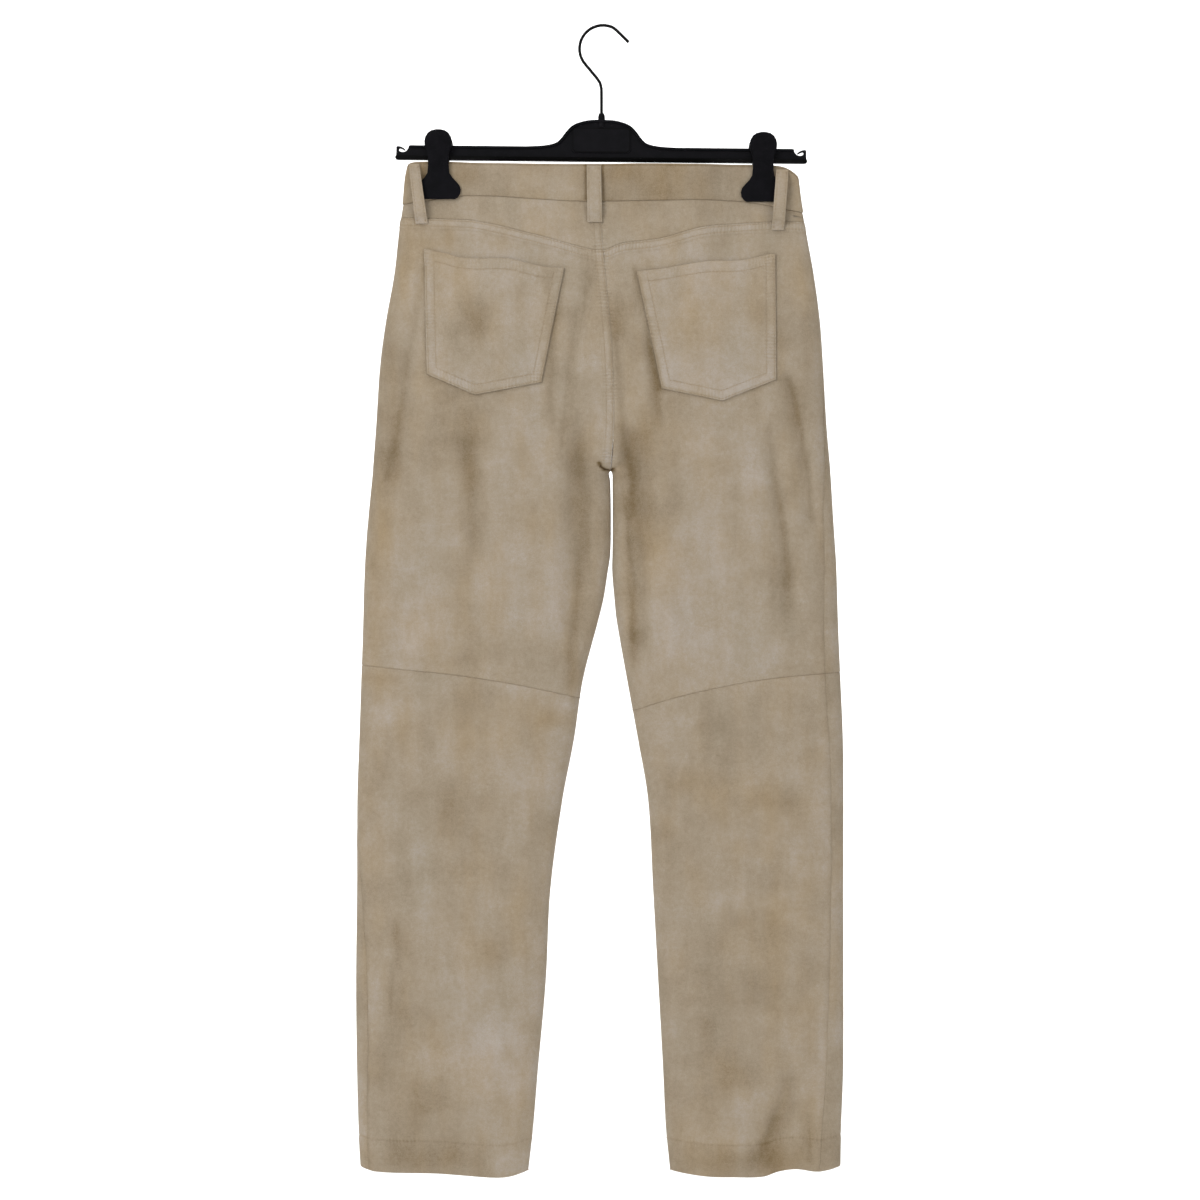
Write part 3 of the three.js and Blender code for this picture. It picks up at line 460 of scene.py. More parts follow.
def suede(name, shift, lighter=0.0):
    """Tan suede: a clouded pile, lighter and darker through the attributes tone and warm, where tone also
    carries painted shade and painted light, faint streaks down the hide, a fleck and a fine grain, and
    puckers beside the sewing, with painted light on their ridges and painted shade in their troughs."""
    s = Shader(name, Roughness=0.95, Sheen_Weight=0.2, Sheen_Roughness=0.5, Specular_IOR_Level=0.12,
               Sheen_Tint=(1.0, 0.95, 0.88, 1))
    at = {
        "even": s.moved(location=shift), "down": s.moved(location=shift, scale=(1, 1, 0.22)),
        "along": s.moved(location=shift, scale=(0.35, 0.35, 1)),
    }
    total = s.plus(s.attribute("tone"), 0.5 + lighter)
    for way, scale, detail, rough, share in CLOUDS:
        total = s.plus(total, s.times(s.minus(s.noise(at[way], scale, detail, rough), 0.5), share))
    uneven = s.times(s.noise(s.place, 90, 2, 0.5), 9)
    height = s.times(s.attribute("pucker"), ticks(s, "X", uneven))
    height = s.plus(height, s.times(s.attribute("pucker_side"), ticks(s, "Z", uneven)))
    here_and_there = s.times(s.minus(s.noise(s.place, 30, 2, 0.5), 0.42), 6)
    height = s.times(height, s.clamped(here_and_there))
    # Painted light on the puckers' ridges and painted shade in their troughs.
    total = s.plus(total, s.times(height, 0.045))
    # Room at the foot of the ramp for the painted deep shade.
    total = s.plus(s.times(total, 0.8), 0.2)
    colour = s.ramp(total, [(0.0, PAINTED_DEEP_SHADE), (0.2, NAP_DARK), (0.6, NAP_MID), (1.0, NAP_LIGHT)])
    hue = s.noise(s.moved(location=(shift[0] + 3, 0, 1)), 11, 3, 0.6)
    warm = s.plus(s.attribute("warm"), s.times(s.minus(hue, 0.5), 2.2))
    streak = s.noise(s.moved(location=(1, shift[1], 4), scale=(1, 1, 0.25)), 42, 3, 0.55)
    warm = s.plus(warm, s.times(s.minus(streak, 0.5), 1.8))
    colour = s.mix(s.clamped(warm), colour, WARM_TINT, "MULTIPLY")
    s.set("Base Color", s.mix(s.clamped(s.times(warm, -1.0)), colour, COOL_TINT, "MULTIPLY"))
    soft = s.bump(s.noise(at["down"], 34, 3, 0.5), 0.0018)
    mottled = s.bump(s.noise(at["even"], 150, 3, 0.6), 0.0005, soft)
    puckered = s.bump(height, 0.00012, mottled)
    s.set("Normal", s.bump(s.noise(at["even"], 1300, 2, 0.6), 0.0002, puckered))
    return s.material


def plastic(name, shaded=None):
    """Black satin plastic with faint flow marks. shaded says where it lies in shade, from 0 to 1."""
    s = Shader(name, Roughness=0.5, Specular_IOR_Level=0.09 if shaded else 0.06)
    mottle = s.noise(s.place, 90, 3, 0.6)
    colour = s.ramp(mottle, [(0.35, linear(10, 10, 13)), (0.7, linear(16, 15, 19))])
    if shaded:
        colour = s.mix(s.clamped(shaded(s)), colour, (*linear(1, 1, 1), 1))
    s.set("Base Color", colour)
    s.set("Roughness", s.plus(s.times(s.noise(s.place, 700, 2, 0.5), 0.2), 0.4))
    s.set("Normal", s.bump(s.noise(s.place, 2200, 2, 0.5), 0.00006))
    return s.material


def on_bar(s):
    """Places along and up the hanger's bar, in metres, from the middle of its lower edge."""
    axes = s.node("SeparateXYZ", Vector=s.node("NewGeometry").outputs["Position"])
    along = s.plus(axes.outputs["X"], 0.0008)
    return along, s.plus(s.plus(axes.outputs["Z"], 0.1351), s.times(along, math.tan(BAR_TILT)))


def under_lip(s):
    """The lip along the bar's lower edge leans down, out of the light."""
    return s.times(s.minus(0.0044, on_bar(s)[1]), 1500)


def round_plate(s):
    """Painted shade in the fine groove round the plain plate, a rounded rectangle."""
    along, up = on_bar(s)
    wide = s.math("MAXIMUM", s.minus(s.math("ABSOLUTE", along), 0.025))
    high = s.math("MAXIMUM", s.minus(s.math("ABSOLUTE", s.minus(up, 0.0211)), 0.0083))
    far = s.math("SQRT", s.plus(s.math("POWER", wide, 2), s.math("POWER", high, 2)))
    return s.minus(1.0, s.math("DIVIDE", s.math("ABSOLUTE", s.minus(far, 0.0034)), 0.0009))


def metal(name, colour, rough, metallic, gloss=0.5):
    """Wire, strip or stamped metal with fine drawing marks and small changes of tone."""
    s = Shader(name, Metallic=metallic, Specular_IOR_Level=gloss)
    marks = s.noise(s.moved(scale=(1, 1, 0.08)), 1600, 2, 0.6)
    tone = s.noise(s.place, 120, 3, 0.6)
    dark = tuple(c * 0.7 for c in colour)
    s.set("Base Color", s.mix(tone, (*dark, 1), (*colour, 1)))
    s.set("Roughness", s.plus(s.times(marks, 0.2), rough - 0.1))
    s.set("Normal", s.bump(marks, 0.00003))
    return s.material


def thread(name):
    """Matt tan thread with a twist."""
    s = Shader(name, Roughness=0.8, Sheen_Weight=0.15)
    twist = s.noise(s.place, 2600, 2, 0.5)
    s.set("Base Color", s.ramp(twist, [(0.3, linear(138, 118, 92)), (0.7, linear(172, 154, 128))]))
    s.set("Normal", s.bump(twist, 0.00008))
    return s.material


BAR_TILT = math.radians(0.56)
BLACK_PLASTIC = plastic("black_plastic")
BAR_PLASTIC = plastic("bar_plastic", under_lip)
PLATE_PLASTIC = plastic("plate_plastic", round_plate)
BLACK_WIRE = metal("black_wire", linear(9, 9, 10), 0.5, 0.0, 0.12)
STRIP_STEEL = metal("strip_steel", linear(140, 142, 145), 0.38, 1.0)
AGED_BRASS = metal("aged_brass", linear(138, 112, 70), 0.42, 1.0)
THREAD = thread("tan_thread")

# Blotches of darker and lighter suede, as (x, z, half width, half height, change of tone in hundredths,
# warmth in tenths): changes in the pile, and painted shade where darker ones lie in the troughs of the
# folds.
BLOTCHES = {
    BACK: (
        (-122, -295, 16, 24, -20, 2), (-135, -296, 18, 30, -13, 2), (-98, -219, 16, 8, -10, 1),
        (-154, -213, 6, 16, -8, 4), (-198, -252, 5, 24, -5, 6), (-80, -276, 10, 18, -8, 1),
        (-99, -338, 10, 14, -6, 1), (-167, -276, 8, 40, -6, 3), (-102, -253, 20, 18, 6, -1),
        (-50, -289, 9, 40, -13, 2), (-11, -256, 8, 22, -10, 1), (-54, -370, 8, 26, -12, 2),
        (-28, -321, 5, 30, -7, 0), (-28, -373, 8, 24, -10, 1), (18, -289, 8, 36, -14, 3),
        (31, -341, 14, 40, -8, 3), (54, -367, 9, 26, -17, 1), (-24, -300, 6, 50, 4, -2),
        (89, -295, 18, 30, -6, 3), (125, -334, 12, 34, -4, -2), (154, -276, 12, 34, -9, 3),
        (106, -256, 24, 20, 6, -1), (138, -315, 12, 22, 4, -2), (197, -243, 10, 40, -6, 4),
        (180, -308, 6, 60, -7, 2), (203, -347, 8, 50, -6, 2), (-190, -227, 9, 34, -8, 4),
        (-210, -315, 9, 60, -7, 4), (-190, -308, 5, 50, 5, 0), (-155, -207, 14, 10, -9, 1),
        (-112, -214, 16, 9, -5, 1), (28, -190, 24, 14, -6, 1), (128, -211, 16, 10, -8, 1),
        (-28, -146, 20, 10, -8, 3), (18, -149, 24, 12, -7, 5), (99, -162, 12, 12, -7, 2),
        (186, -152, 14, 14, -7, 4), (-138, -149, 16, 12, -5, 4), (-73, -159, 30, 10, 4, -1),
        (-134, -426, 12, 40, -15, 1), (-134, -446, 9, 16, -9, 1), (-129, -470, 9, 20, -11, 1),
        (-126, -506, 8, 30, -9, 2), (-146, -579, 16, 60, -7, 2), (-176, -625, 18, 20, -5, 3),
        (-24, -438, 12, 36, -17, 1), (-17, -525, 10, 44, -10, 3), (-27, -553, 9, 40, -9, 3),
        (-33, -632, 7, 26, -11, 2), (-43, -413, 10, 26, -10, 1), (-205, -440, 8, 40, -7, 3),
        (-222, -508, 12, 60, -8, 5), (-96, -460, 25, 60, 5, -2), (-76, -560, 36, 60, 6, -2),
        (-196, -455, 14, 40, 5, -2), (-222, -652, 22, 14, -6, 6), (-176, -540, 18, 40, 3, -2),
        # (6.2, -431) is a painted highlight on the lump where four seams meet at the crotch.
        (30, -448, 9, 30, -11, -5), (6.2, -431, 8, 9, 12, -2), (18, -402, 4, 18, -6, 3),
        (48, -410, 10, 22, -10, 1), (36, -490, 13, 60, -11, -2), (50, -500, 16, 70, -5, 4),
        (31, -605, 6, 44, -14, 3), (66, -470, 14, 30, -5, 0), (66, -576, 14, 20, -5, 0),
        (133, -513, 8, 90, -6, -2), (106, -560, 30, 70, 5, -2), (153, -625, 30, 30, 6, -2),
        (216, -560, 8, 60, -5, 1), (190, -430, 10, 60, -5, 3), (-156, -789, 12, 30, -12, 3),
        (-232, -805, 14, 40, -5, 5), (-202, -973, 12, 30, -9, 2), (-202, -908, 9, 22, -12, 2),
        (-211, -962, 8, 22, -9, 2), (-196, -988, 12, 14, -7, 1), (-163, -1011, 26, 14, -8, 2),
        (-119, -922, 34, 20, -7, 5), (-182, -849, 14, 60, 6, -3), (-116, -885, 16, 30, 5, -3),
        (-103, -850, 9, 20, -5, 0), (-66, -763, 8, 50, -5, 0), (-196, -1130, 50, 12, -11, 2),
        (-139, -1128, 26, 14, -9, 3), (-109, -1028, 24, 60, 6, -3), (-182, -1068, 30, 20, -6, 3),
        (-215, -1040, 14, 40, -5, 2), (-45, -692, 26, 9, -7, 4), (113, -703, 20, 16, -5, 0),
        (83, -756, 22, 16, -8, 4), (166, -769, 30, 16, -6, 4), (209, -736, 12, 26, -7, 2),
        (63, -809, 10, 30, -6, 2), (149, -822, 26, 12, -4, 2), (169, -902, 36, 34, -4, 6),
        (132, -945, 36, 34, -9, 2), (169, -968, 30, 20, -7, 3), (106, -995, 10, 20, -6, 1),
        (80, -985, 16, 80, 7, -4), (90, -1038, 9, 14, -5, 0), (146, -1048, 26, 18, -5, 3),
        (186, -1061, 7, 20, -10, 1), (165, -1120, 18, 30, -20, 1), (178, -1090, 16, 22, -9, 1),
        (206, -1098, 8, 26, -10, 2), (130, -1130, 80, 14, -11, 2), (205, -950, 12, 120, -3, 4),
    ),
    FRONT: (
        (-24, -450, 12, 60, -18, 2), (36, -470, 12, 60, -16, 3), (-120, -440, 14, 40, -10, 2),
        (130, -420, 14, 44, -11, 2), (-90, -560, 40, 60, 5, -2), (110, -580, 40, 60, 5, -2),
        (-205, -330, 12, 60, -7, 4), (200, -340, 12, 60, -7, 4), (-150, -700, 40, 16, -7, 3),
        (150, -705, 40, 16, -7, 3), (-190, -900, 12, 50, -8, 3), (160, -940, 30, 24, -7, 3),
        (-170, -1122, 60, 14, -9, 2), (150, -1124, 60, 14, -9, 3), (-60, -280, 16, 40, -7, 2),
        (70, -290, 14, 40, -8, 2), (-120, -980, 20, 60, 5, -3), (90, -880, 18, 60, 5, -3),
    ),
}


# Soft dark lines, the shade beside pockets and in creases, as (line of places, half width, change of tone).
SHADES = {
    BACK: (
        (((32, -244), (57, -362)), 3.5, -0.2), (((28, -250), (52, -350)), 7, -0.06),
        (((-35, -244), (-58, -356)), 2.2, -0.12), (((-60, -358), (-126, -371), (-174, -350)), 2, -0.07),
        (((59, -364), (121, -377), (174, -355)), 2, -0.07), (((176, -229), (176, -353)), 2, -0.06),
        (((-178, -226), (-176, -348)), 2, -0.05), (((-175, -228), (-145, -232), (-99, -232)), 1.6, -0.03),
        (((186, -353), (198, -403), (206, -451), (209, -493)), 3, -0.12),
        (((169, -407), (171, -446), (180, -500), (186, -548), (184, -581)), 4, -0.13),
        (((-177, -243), (-194, -343), (-202, -396), (-214, -453)), 3.5, -0.08),
        (((-196, -360), (-204, -430), (-216, -500)), 4, -0.04),
        (
            ((9, -271), (15, -333), (18, -373), (22, -415), (27, -437), (31, -455), (29, -480), (26, -530)),
            4.5, -0.13,
        ),
        (((45, -312), (54, -378), (59, -401)), 4, -0.12),
        (((-15, -263), (-26, -330), (-33, -400)), 3, -0.07),
        (((-24, -280), (-34, -350), (-40, -420)), 3, -0.08),
        (((-48, -300), (-52, -370), (-50, -410)), 4, -0.09),
        (((-12, -452), (-14, -500), (-15, -540)), 4, -0.1),
        (((-21, -500), (-24, -560), (-33, -640)), 4, -0.1),
        (((19, -450), (23, -482), (27, -520), (33, -560)), 2, -0.07),
        (((27, -480), (28, -540), (30, -610), (33, -660)), 4, -0.1),
        (((-2.8, -436), (-1.8, -440), (2, -442.8), (7, -443.6), (11.5, -441.8)), 1.7, -0.8),
        (((205.5, -1086), (207, -1130)), 3, -0.08), (((173, -1089), (161, -1118)), 5, -0.08),
        (((-179, -142), (-176, -158)), 3.5, -0.3), (((184, -146), (180, -190)), 2.2, -0.16),
        (((-16.4, -139), (-16, -174)), 1.2, -0.25), (((0.8, -139), (1.6, -174)), 1.2, -0.25),
        (((-205, -890), (-203, -930)), 3, -0.07), (((-209, -945), (-211, -985)), 3, -0.07),
    ),
    FRONT: (
        (((-150, -300), (-90, -420)), 6, -0.07), (((152, -300), (96, -430)), 6, -0.07),
        (((-60, -420), (-120, -470)), 5, -0.08), (((70, -430), (130, -480)), 5, -0.08),
    ),
}


WIDE_SHADE = 4  # a shade at least this wide fades out at its ends


def nap_and_painted_shading(face, x, z):
    """Tone and warmth: blotches, shade lines, painted shade in fold troughs and painted light on ridges."""
    # Painted shade in the troughs of the folds and painted light on their ridges.
    tone = 0.022 * np.clip(creased(face, x, z), -6, 3)
    warm = np.zeros(np.shape(x))
    for side, blotches in BLOTCHES.items():
        for blotch_x, blotch_z, wide, high, change, warmth in blotches:
            near = (face == side) * np.exp(-(((x - blotch_x) / wide) ** 2) - ((z - blotch_z) / high) ** 2)
            tone = tone + change / 100 * near
            warm = warm + warmth / 10 * near
    for side, shades in SHADES.items():
        for line, wide, change in shades:
            shade = change * hump(off_line(line, x, z), wide)
            if wide >= WIDE_SHADE:
                high, low = max(at for _, at in line), min(at for _, at in line)
                end = 0.3 * (high - low)
                shade = shade * smooth((high + 6 - z) / end) * smooth((z - low + 6) / end)
            tone = tone + (face == side) * shade
    return tone, warm


def cloth(name, outer, inner, values, material):
    """A cut piece of suede that stands for its solid. values are its tone, warmth and both puckers."""
    values = dict(zip(("tone", "warm", "pucker", "pucker_side"), values))
    obj = wall_object(f"cloth_{name}", outer, inner, material, values)
    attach(obj, "root")
    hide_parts(name)


# Panels
# Steps from a seam, in millimetres: close together where the sewing raises or sinks the suede.
SEAM_STEPS = (0, 0.35, 0.8, 1.6, 3.2, 5.5)
FELL_STEPS = (0, 0.35, 0.9, 1.8, 2.7, 4.2, 5.9, 6.9, 7.8, 8.7, 9.6, 10.8, 12.6, 15.4)
HEM_STEPS = (35.5, 33.6, 32.7, 31.9, 31.1, 30.2, 28, 24, 20, 16, 12, 8.5, 5.5, 3, 1.4, 0.5, 0)


def seam_rows(from_top, counts, from_bottom):
    """Rows of a panel, each as shares of the top's and the bottom's height and a height to add to them.
    Two counts are those of the rows above and below the crotch."""
    first, last = from_top[-1], from_bottom[0]
    rows = [(1, 0, -d) for d in from_top]
    if isinstance(counts, tuple):
        for w in 1 - (1 - even(counts[0])[1:]) ** 1.35:
            rows.append((1 - w, 0, -(1 - w) * first + w * CROTCH_Z))
        for t in even(counts[1])[1:-1]:
            rows.append((0, t, (1 - t) * CROTCH_Z + t * last))
    else:
        for t in even(counts)[1:-1]:
            rows.append((1 - t, t, -(1 - t) * first + t * last))
    return np.array(rows + [(0, 1, d) for d in from_bottom])


def panel_grid(side, start, stop, top, bottom, columns, rows, fell):
    """The angle and height of each point of a panel. fell holds steps from the inner edge."""
    hand = HAND[side]
    share_top, share_bottom, more = (rows[:, k][None, :] for k in range(3))
    z = np.tile(share_top * -300 + share_bottom * -700 + more, (len(columns) + len(fell), 1))
    for _ in range(4):
        outer, inner = section(f"{hand}_outer", z), section(f"{hand}_inner", z)
        half = np.abs(inner - outer) / 2
        first, last = start(side, z), stop(side, z)
        steps = first[: len(fell)] + np.arccos(1 - np.array(fell)[:, None] / half[: len(fell)])
        begin = steps[-1:] if len(fell) else first[:1]
        shares = columns[:, None]
        angle = np.concatenate([steps, begin + (last[len(fell):] - begin) * shares])
        x = (outer + inner) / 2 + (inner - outer) / 2 * np.cos(angle)
        z = share_top * (top(x) - SEAM_GAP / 2) + share_bottom * (bottom(x) + SEAM_GAP / 2) + more
    return angle, z


def back_stop(side, z):
    seam = side_seam(side, z)
    return seam - half_gap(side, seam, z)


def front_start(side, z):
    seam = side_seam(side, z)
    return seam + half_gap(side, seam, z)


def front_stop(side, z):
    return 2 * math.pi - inner_edge(side, z)


def seam(places):
    return lambda x: curve(places, x)


YOKE_FELL = 9.6
CENTRE_FELL = 9.0
FELL_ROWS = (1.8, 7.8)
FELL_RISE = 0.55
FELL_LIFT = 0.32
GROOVE_DEPTH = 0.3
GROOVE_WIDTH = 0.8
GROOVE_SHADE_WIDTH = 0.75
SEAM_SUNK = 0.55
UNDER_FELL_SUNK = 0.3


def felled(off, width):
    """The rise of a felled seam: a raised band with a groove under each of its two rows of stitches."""
    rise = FELL_RISE * (smooth(off / 0.9) - smooth((off - width) / 1.6))
    for row in FELL_ROWS:
        rise = rise - GROOVE_DEPTH * hump(off - row, GROOVE_WIDTH)
    return rise


def felled_light_and_shade(off, width):
    """Painted light on a felled seam's raised band; painted shade in each row's groove and past its edge."""
    tone = 0.035 * (smooth(off / 0.9) - smooth((off - width) / 1.6))
    for row in FELL_ROWS:
        tone = tone - 0.10 * hump(off - row, GROOVE_SHADE_WIDTH)
    return tone - 0.05 * hump(off - width - 1, 1.2)


# The middle of the seat's lowest place, where four seams meet in a thick lump with short pleats.
CROTCH_X = 6.5
CROTCH_RISE = 4.2
ABOVE_CROTCH = 12  # height over which the centre seam's relief begins


def seam_relief(piece, side, x, z, from_top, from_bottom, from_side):
    """How far the seams raise or sink a panel's face."""
    top_sunk = UNDER_FELL_SUNK if piece == "back_thigh" else SEAM_SUNK
    bottom_sunk = UNDER_FELL_SUNK if piece == "yoke" else SEAM_SUNK
    relief = -top_sunk * fade(from_top, 0.5) - bottom_sunk * fade(from_bottom, 0.5)
    relief += -0.5 * fade(from_side, 0.7)
    if piece == "back_thigh":
        relief += felled(from_top, YOKE_FELL)
    if piece in ("back_thigh", "yoke"):
        off = (section("left_inner", z) - x) * (1 if side == LEFT else -1)
        above = smooth((z - CROTCH_Z) / ABOVE_CROTCH)
        relief += -0.5 * fade(np.abs(off), 0.5) * above
        if side == LEFT:
            relief += felled(off, CENTRE_FELL) * above
        lump = np.exp(-((np.hypot((x - CROTCH_X) / 14, (z + 430) / 12.5)) ** 4))
        pleats = 0.6 * np.cos((x - CROTCH_X) * 2.1) * np.exp(-(((z + 425) / 9) ** 2) - ((x - 7) / 7) ** 2)
        relief += lump * (CROTCH_RISE + pleats)
    if piece.endswith("shin"):
        relief += -GROOVE_DEPTH * hump(from_bottom - HEM_DEPTH, 0.9) + 0.25 * smooth((31 - from_bottom) / 3)
        relief += -0.5 * fade(from_bottom, 0.7)
    return relief


def gathered(off, reach):
    """1 up to an edge, falling to 0 over reach."""
    return 1 - smooth(off / reach)


# Puckers beside a panel's top and bottom seams, as (how much, how far off they fade, over what distance).
TOP_PUCKERS = {"back_thigh": (1, 6, 9), "back_shin": (0.3, 0, 8), "front_shin": (0.3, 0, 8)}
BOTTOM_PUCKERS = {"yoke": (0.4, 0, 7), "back_thigh": (0.3, 0, 8), "front_thigh": (0.3, 0, 8)}


def puckers(piece, side, x, z, from_top, from_bottom, from_side):
    """How puckered the suede is beside the sewing: by seams that run across, and by seams that run down."""
    across, down = np.zeros(np.shape(x)), 0.25 * gathered(from_side, 6)
    for beside, off in ((TOP_PUCKERS, from_top), (BOTTOM_PUCKERS, from_bottom)):
        if piece in beside:
            much, far, reach = beside[piece]
            across = np.maximum(across, much * gathered(off - far, reach))
    if piece.endswith("shin"):
        across = np.maximum(across, 0.6 * hump(from_bottom - HEM_DEPTH, 5))
    if piece in ("back_thigh", "yoke"):
        off = np.abs(section("left_inner", z) - x)
        reach = CENTRE_FELL + 3 if side == LEFT else 5
        down = np.maximum(down, gathered(off - reach + 4, 6) * smooth((z - CROTCH_Z) / ABOVE_CROTCH))
    return across, down


PANELS = {
    "yoke": dict(face=BACK, columns=100, flat=(0.205, 0.05), area=0.0058),
    "back_thigh": dict(face=BACK, columns=100, flat=(0.24, 0.48), area=0.101),
    "back_shin": dict(face=BACK, columns=92, flat=(0.215, 0.53), area=0.091),
    "front_thigh": dict(face=FRONT, columns=84, flat=(0.26, 0.51), area=0.112),
    "front_shin": dict(face=FRONT, columns=70, flat=(0.24, 0.53), area=0.104),
}
ROWS = {
    "yoke": seam_rows(SEAM_STEPS, 14, SEAM_STEPS[::-1]),
    "back_thigh": seam_rows(FELL_STEPS, (92, 92), SEAM_STEPS[::-1]),
    "back_shin": seam_rows(SEAM_STEPS, 190, HEM_STEPS),
    "front_thigh": seam_rows(SEAM_STEPS, (80, 62), SEAM_STEPS[::-1]),
    "front_shin": seam_rows(SEAM_STEPS, 120, HEM_STEPS),
}
SHIFTS = {name: (0.7 * k, 0.31 * k, 0.53 * k) for k, name in enumerate(PANELS)}


def edge_of(piece, side):
    """The seams at a panel's top and bottom, as heights over x."""
    knee = KNEE_SEAM[side]
    top = {"back_thigh": YOKE_SEAM, "back_shin": knee, "front_shin": knee}.get(piece, BAND_SEAM)
    bottom = {"yoke": YOKE_SEAM, "back_shin": HEM[side], "front_shin": HEM[side]}.get(piece, knee)
    return seam(top), seam(bottom)


def panel_columns(facts):
    """Shares across a panel beyond a felled seam, closer together beside the side seam."""
    near = np.array([0.0012, 0.003, 0.006])
    if facts["face"] == FRONT:
        return np.sort(np.concatenate([to_edges(facts["columns"]), near]))
    t = even(facts["columns"])[1:]
    spread = 0.62 * t + 0.38 * 2 / math.pi * np.arcsin(t)
    return np.sort(np.concatenate([spread, 1 - near]))


def make_panel(piece, side):
    facts = PANELS[piece]
    top, bottom = edge_of(piece, side)
    back = facts["face"] == BACK
    start, stop = (inner_edge, back_stop) if back else (front_start, front_stop)
    fell = FELL_STEPS if back else ()
    angle, z = panel_grid(side, start, stop, top, bottom, panel_columns(facts), ROWS[piece], fell)
    middle = place(side, angle, z)
    x = middle[..., 0]
    from_top, from_bottom = top(x) - z, z - bottom(x)
    girth = np.linalg.norm(np.diff(middle, axis=0), axis=-1).cumsum(axis=0)
    girth = np.concatenate([np.zeros((1, girth.shape[1])), girth])
    from_side = girth[-1] - girth if back else girth
    relief = seam_relief(piece, side, x, z, from_top, from_bottom, from_side)
    outer = middle + normal(side, angle, z) * relief[..., None]
    thick = SUEDE * np.where(bottom(x) + HEM_DEPTH > z, 2, 1) if piece.endswith("shin") else SUEDE
    inner = place(side, angle, z, thick)
    tone, warm = nap_and_painted_shading(np.full(x.shape, facts["face"]), x, z)
    # Painted shade along the sunk seams at the panel's top, bottom and side.
    tone = tone - 0.10 * fade(from_top, 0.8) - 0.08 * fade(from_bottom, 0.8) - 0.10 * fade(from_side, 1.2)
    if piece == "back_thigh":
        tone = tone + felled_light_and_shade(from_top, YOKE_FELL)
    if piece in ("back_thigh", "yoke") and side == LEFT:
        off = section("left_inner", z) - x
        tone = tone + felled_light_and_shade(off, CENTRE_FELL) * smooth((z - CROTCH_Z) / ABOVE_CROTCH)
    if piece.endswith("shin"):
        # Painted shade in the groove of the hem's row of stitches; below it the turned-up hem is a little
        # darker.
        below_row = smooth((HEM_DEPTH - from_bottom) / 3)
        tone = tone - 0.09 * hump(from_bottom - HEM_DEPTH, 1.2) - 0.035 * below_row
    across, down = puckers(piece, side, x, z, from_top, from_bottom, from_side)
    name = f"{piece}_{HAND[side]}"
    material = suede(f"suede_{name}", tuple(c * side for c in SHIFTS[piece]))
    cloth(name, outer, inner, (tone, warm, across, down), material)


for side in (LEFT, RIGHT):
    for piece in PANELS:
        make_panel(piece, side)

# Waistband
OVERLAP = 36
OVER_LIFT = BAND_THICK + 0.5
OVER_END = 5
BAND_COLUMNS = 320
BAND_HEIGHT = 37.0


def band_stops(middle):
    """The strip's path as stops: side, angle or x, and whether it may lie over the under end."""
    stops = [(LEFT if x < 0 else RIGHT, None, middle + x, 0) for x in np.linspace(-OVERLAP, -1, 16)]
    stops += [(RIGHT, 2 * math.pi * (1 - t), None, 0) for t in even(BAND_COLUMNS)]
    stops += [(LEFT, 2 * math.pi * t, None, 1) for t in even(BAND_COLUMNS)[1:]]
    return stops + [(RIGHT, None, middle + x, 1) for x in np.linspace(0.5, OVER_END, 4)]


def band_points(inset, rows):
    middle = float(section("left_inner", -150))
    stops = band_stops(middle)
    grid = np.zeros((len(stops), len(rows), 3))
    for side in (LEFT, RIGHT):
        chosen = [k for k, stop in enumerate(stops) if stop[0] == side]
        z = np.full((len(chosen), len(rows)), -155.0)
        for _ in range(4):
            angle = np.stack([
                angle_at(side, stops[k][2], z[i], FRONT) if stops[k][1] is None else z[i] * 0 + stops[k][1]
                for i, k in enumerate(chosen)
            ])
            points = place(side, angle, z, inset - BAND_PROUD)
            x = points[..., 0]
            top, foot = curve(BAND_TOP, x), curve(BAND_SEAM, x) + SEAM_GAP / 2
            z = top + (foot - top) * rows
        over = np.array([stops[k][3] for k in chosen])[:, None] * (points[..., 1] > 0)
        points[..., 1] += over * OVER_LIFT * smooth((x - middle + OVERLAP * 2.2) / (OVERLAP * 1.1))
        grid[chosen] = points
    return grid


def make_waistband():
    rows = np.concatenate([[0, 0.01, 0.025, 0.045, 0.06, 0.08], even(20)[2:-1], [0.972, 0.988, 1]])
    outer, inner = band_points(0, rows), band_points(BAND_THICK, rows)
    from_top, from_foot = rows * BAND_HEIGHT, (1 - rows) * BAND_HEIGHT
    sunk = -0.9 * fade(from_top, 0.8) - 0.8 * fade(from_foot, 0.6)
    away = outer - inner
    away /= np.maximum(np.linalg.norm(away, axis=-1, keepdims=True), 1e-9)
    outer = outer + away * sunk[None, :, None]
    inner = inner + away * (0.5 * fade(from_top, 0.9))[None, :, None]
    x, z = outer[..., 0], outer[..., 2]
    tone, warm = nap_and_painted_shading(np.where(outer[..., 1] < 0, BACK, FRONT), x, z)
    # Painted shade where the band sinks into its foot seam; a thin dark line lies just under the top edge.
    tone = tone - 0.06 * fade(from_foot, 0.8) - 0.20 * hump(from_top - 1.8, 0.9)
    pucker = np.broadcast_to(0.3 * fade(from_foot, 5) + 0.12, x.shape)
    material = suede("suede_band", (2.1, 0.4, 0.9), -0.09)
    cloth("waistband", outer, inner, (tone, warm + 0.2, pucker, x * 0), material)


make_waistband()


# Pieces that lie on a panel
def between(ends, share):
    return ends[0] + (ends[1] - ends[0]) * share


def on_leg(side, x, z, face, out):
    """Places over one leg's cloth, moved out from its face."""
    inset = -np.broadcast_to(np.asarray(out, float), np.shape(x))
    return place(side, angle_at(side, x, z, face, inset), z, inset)


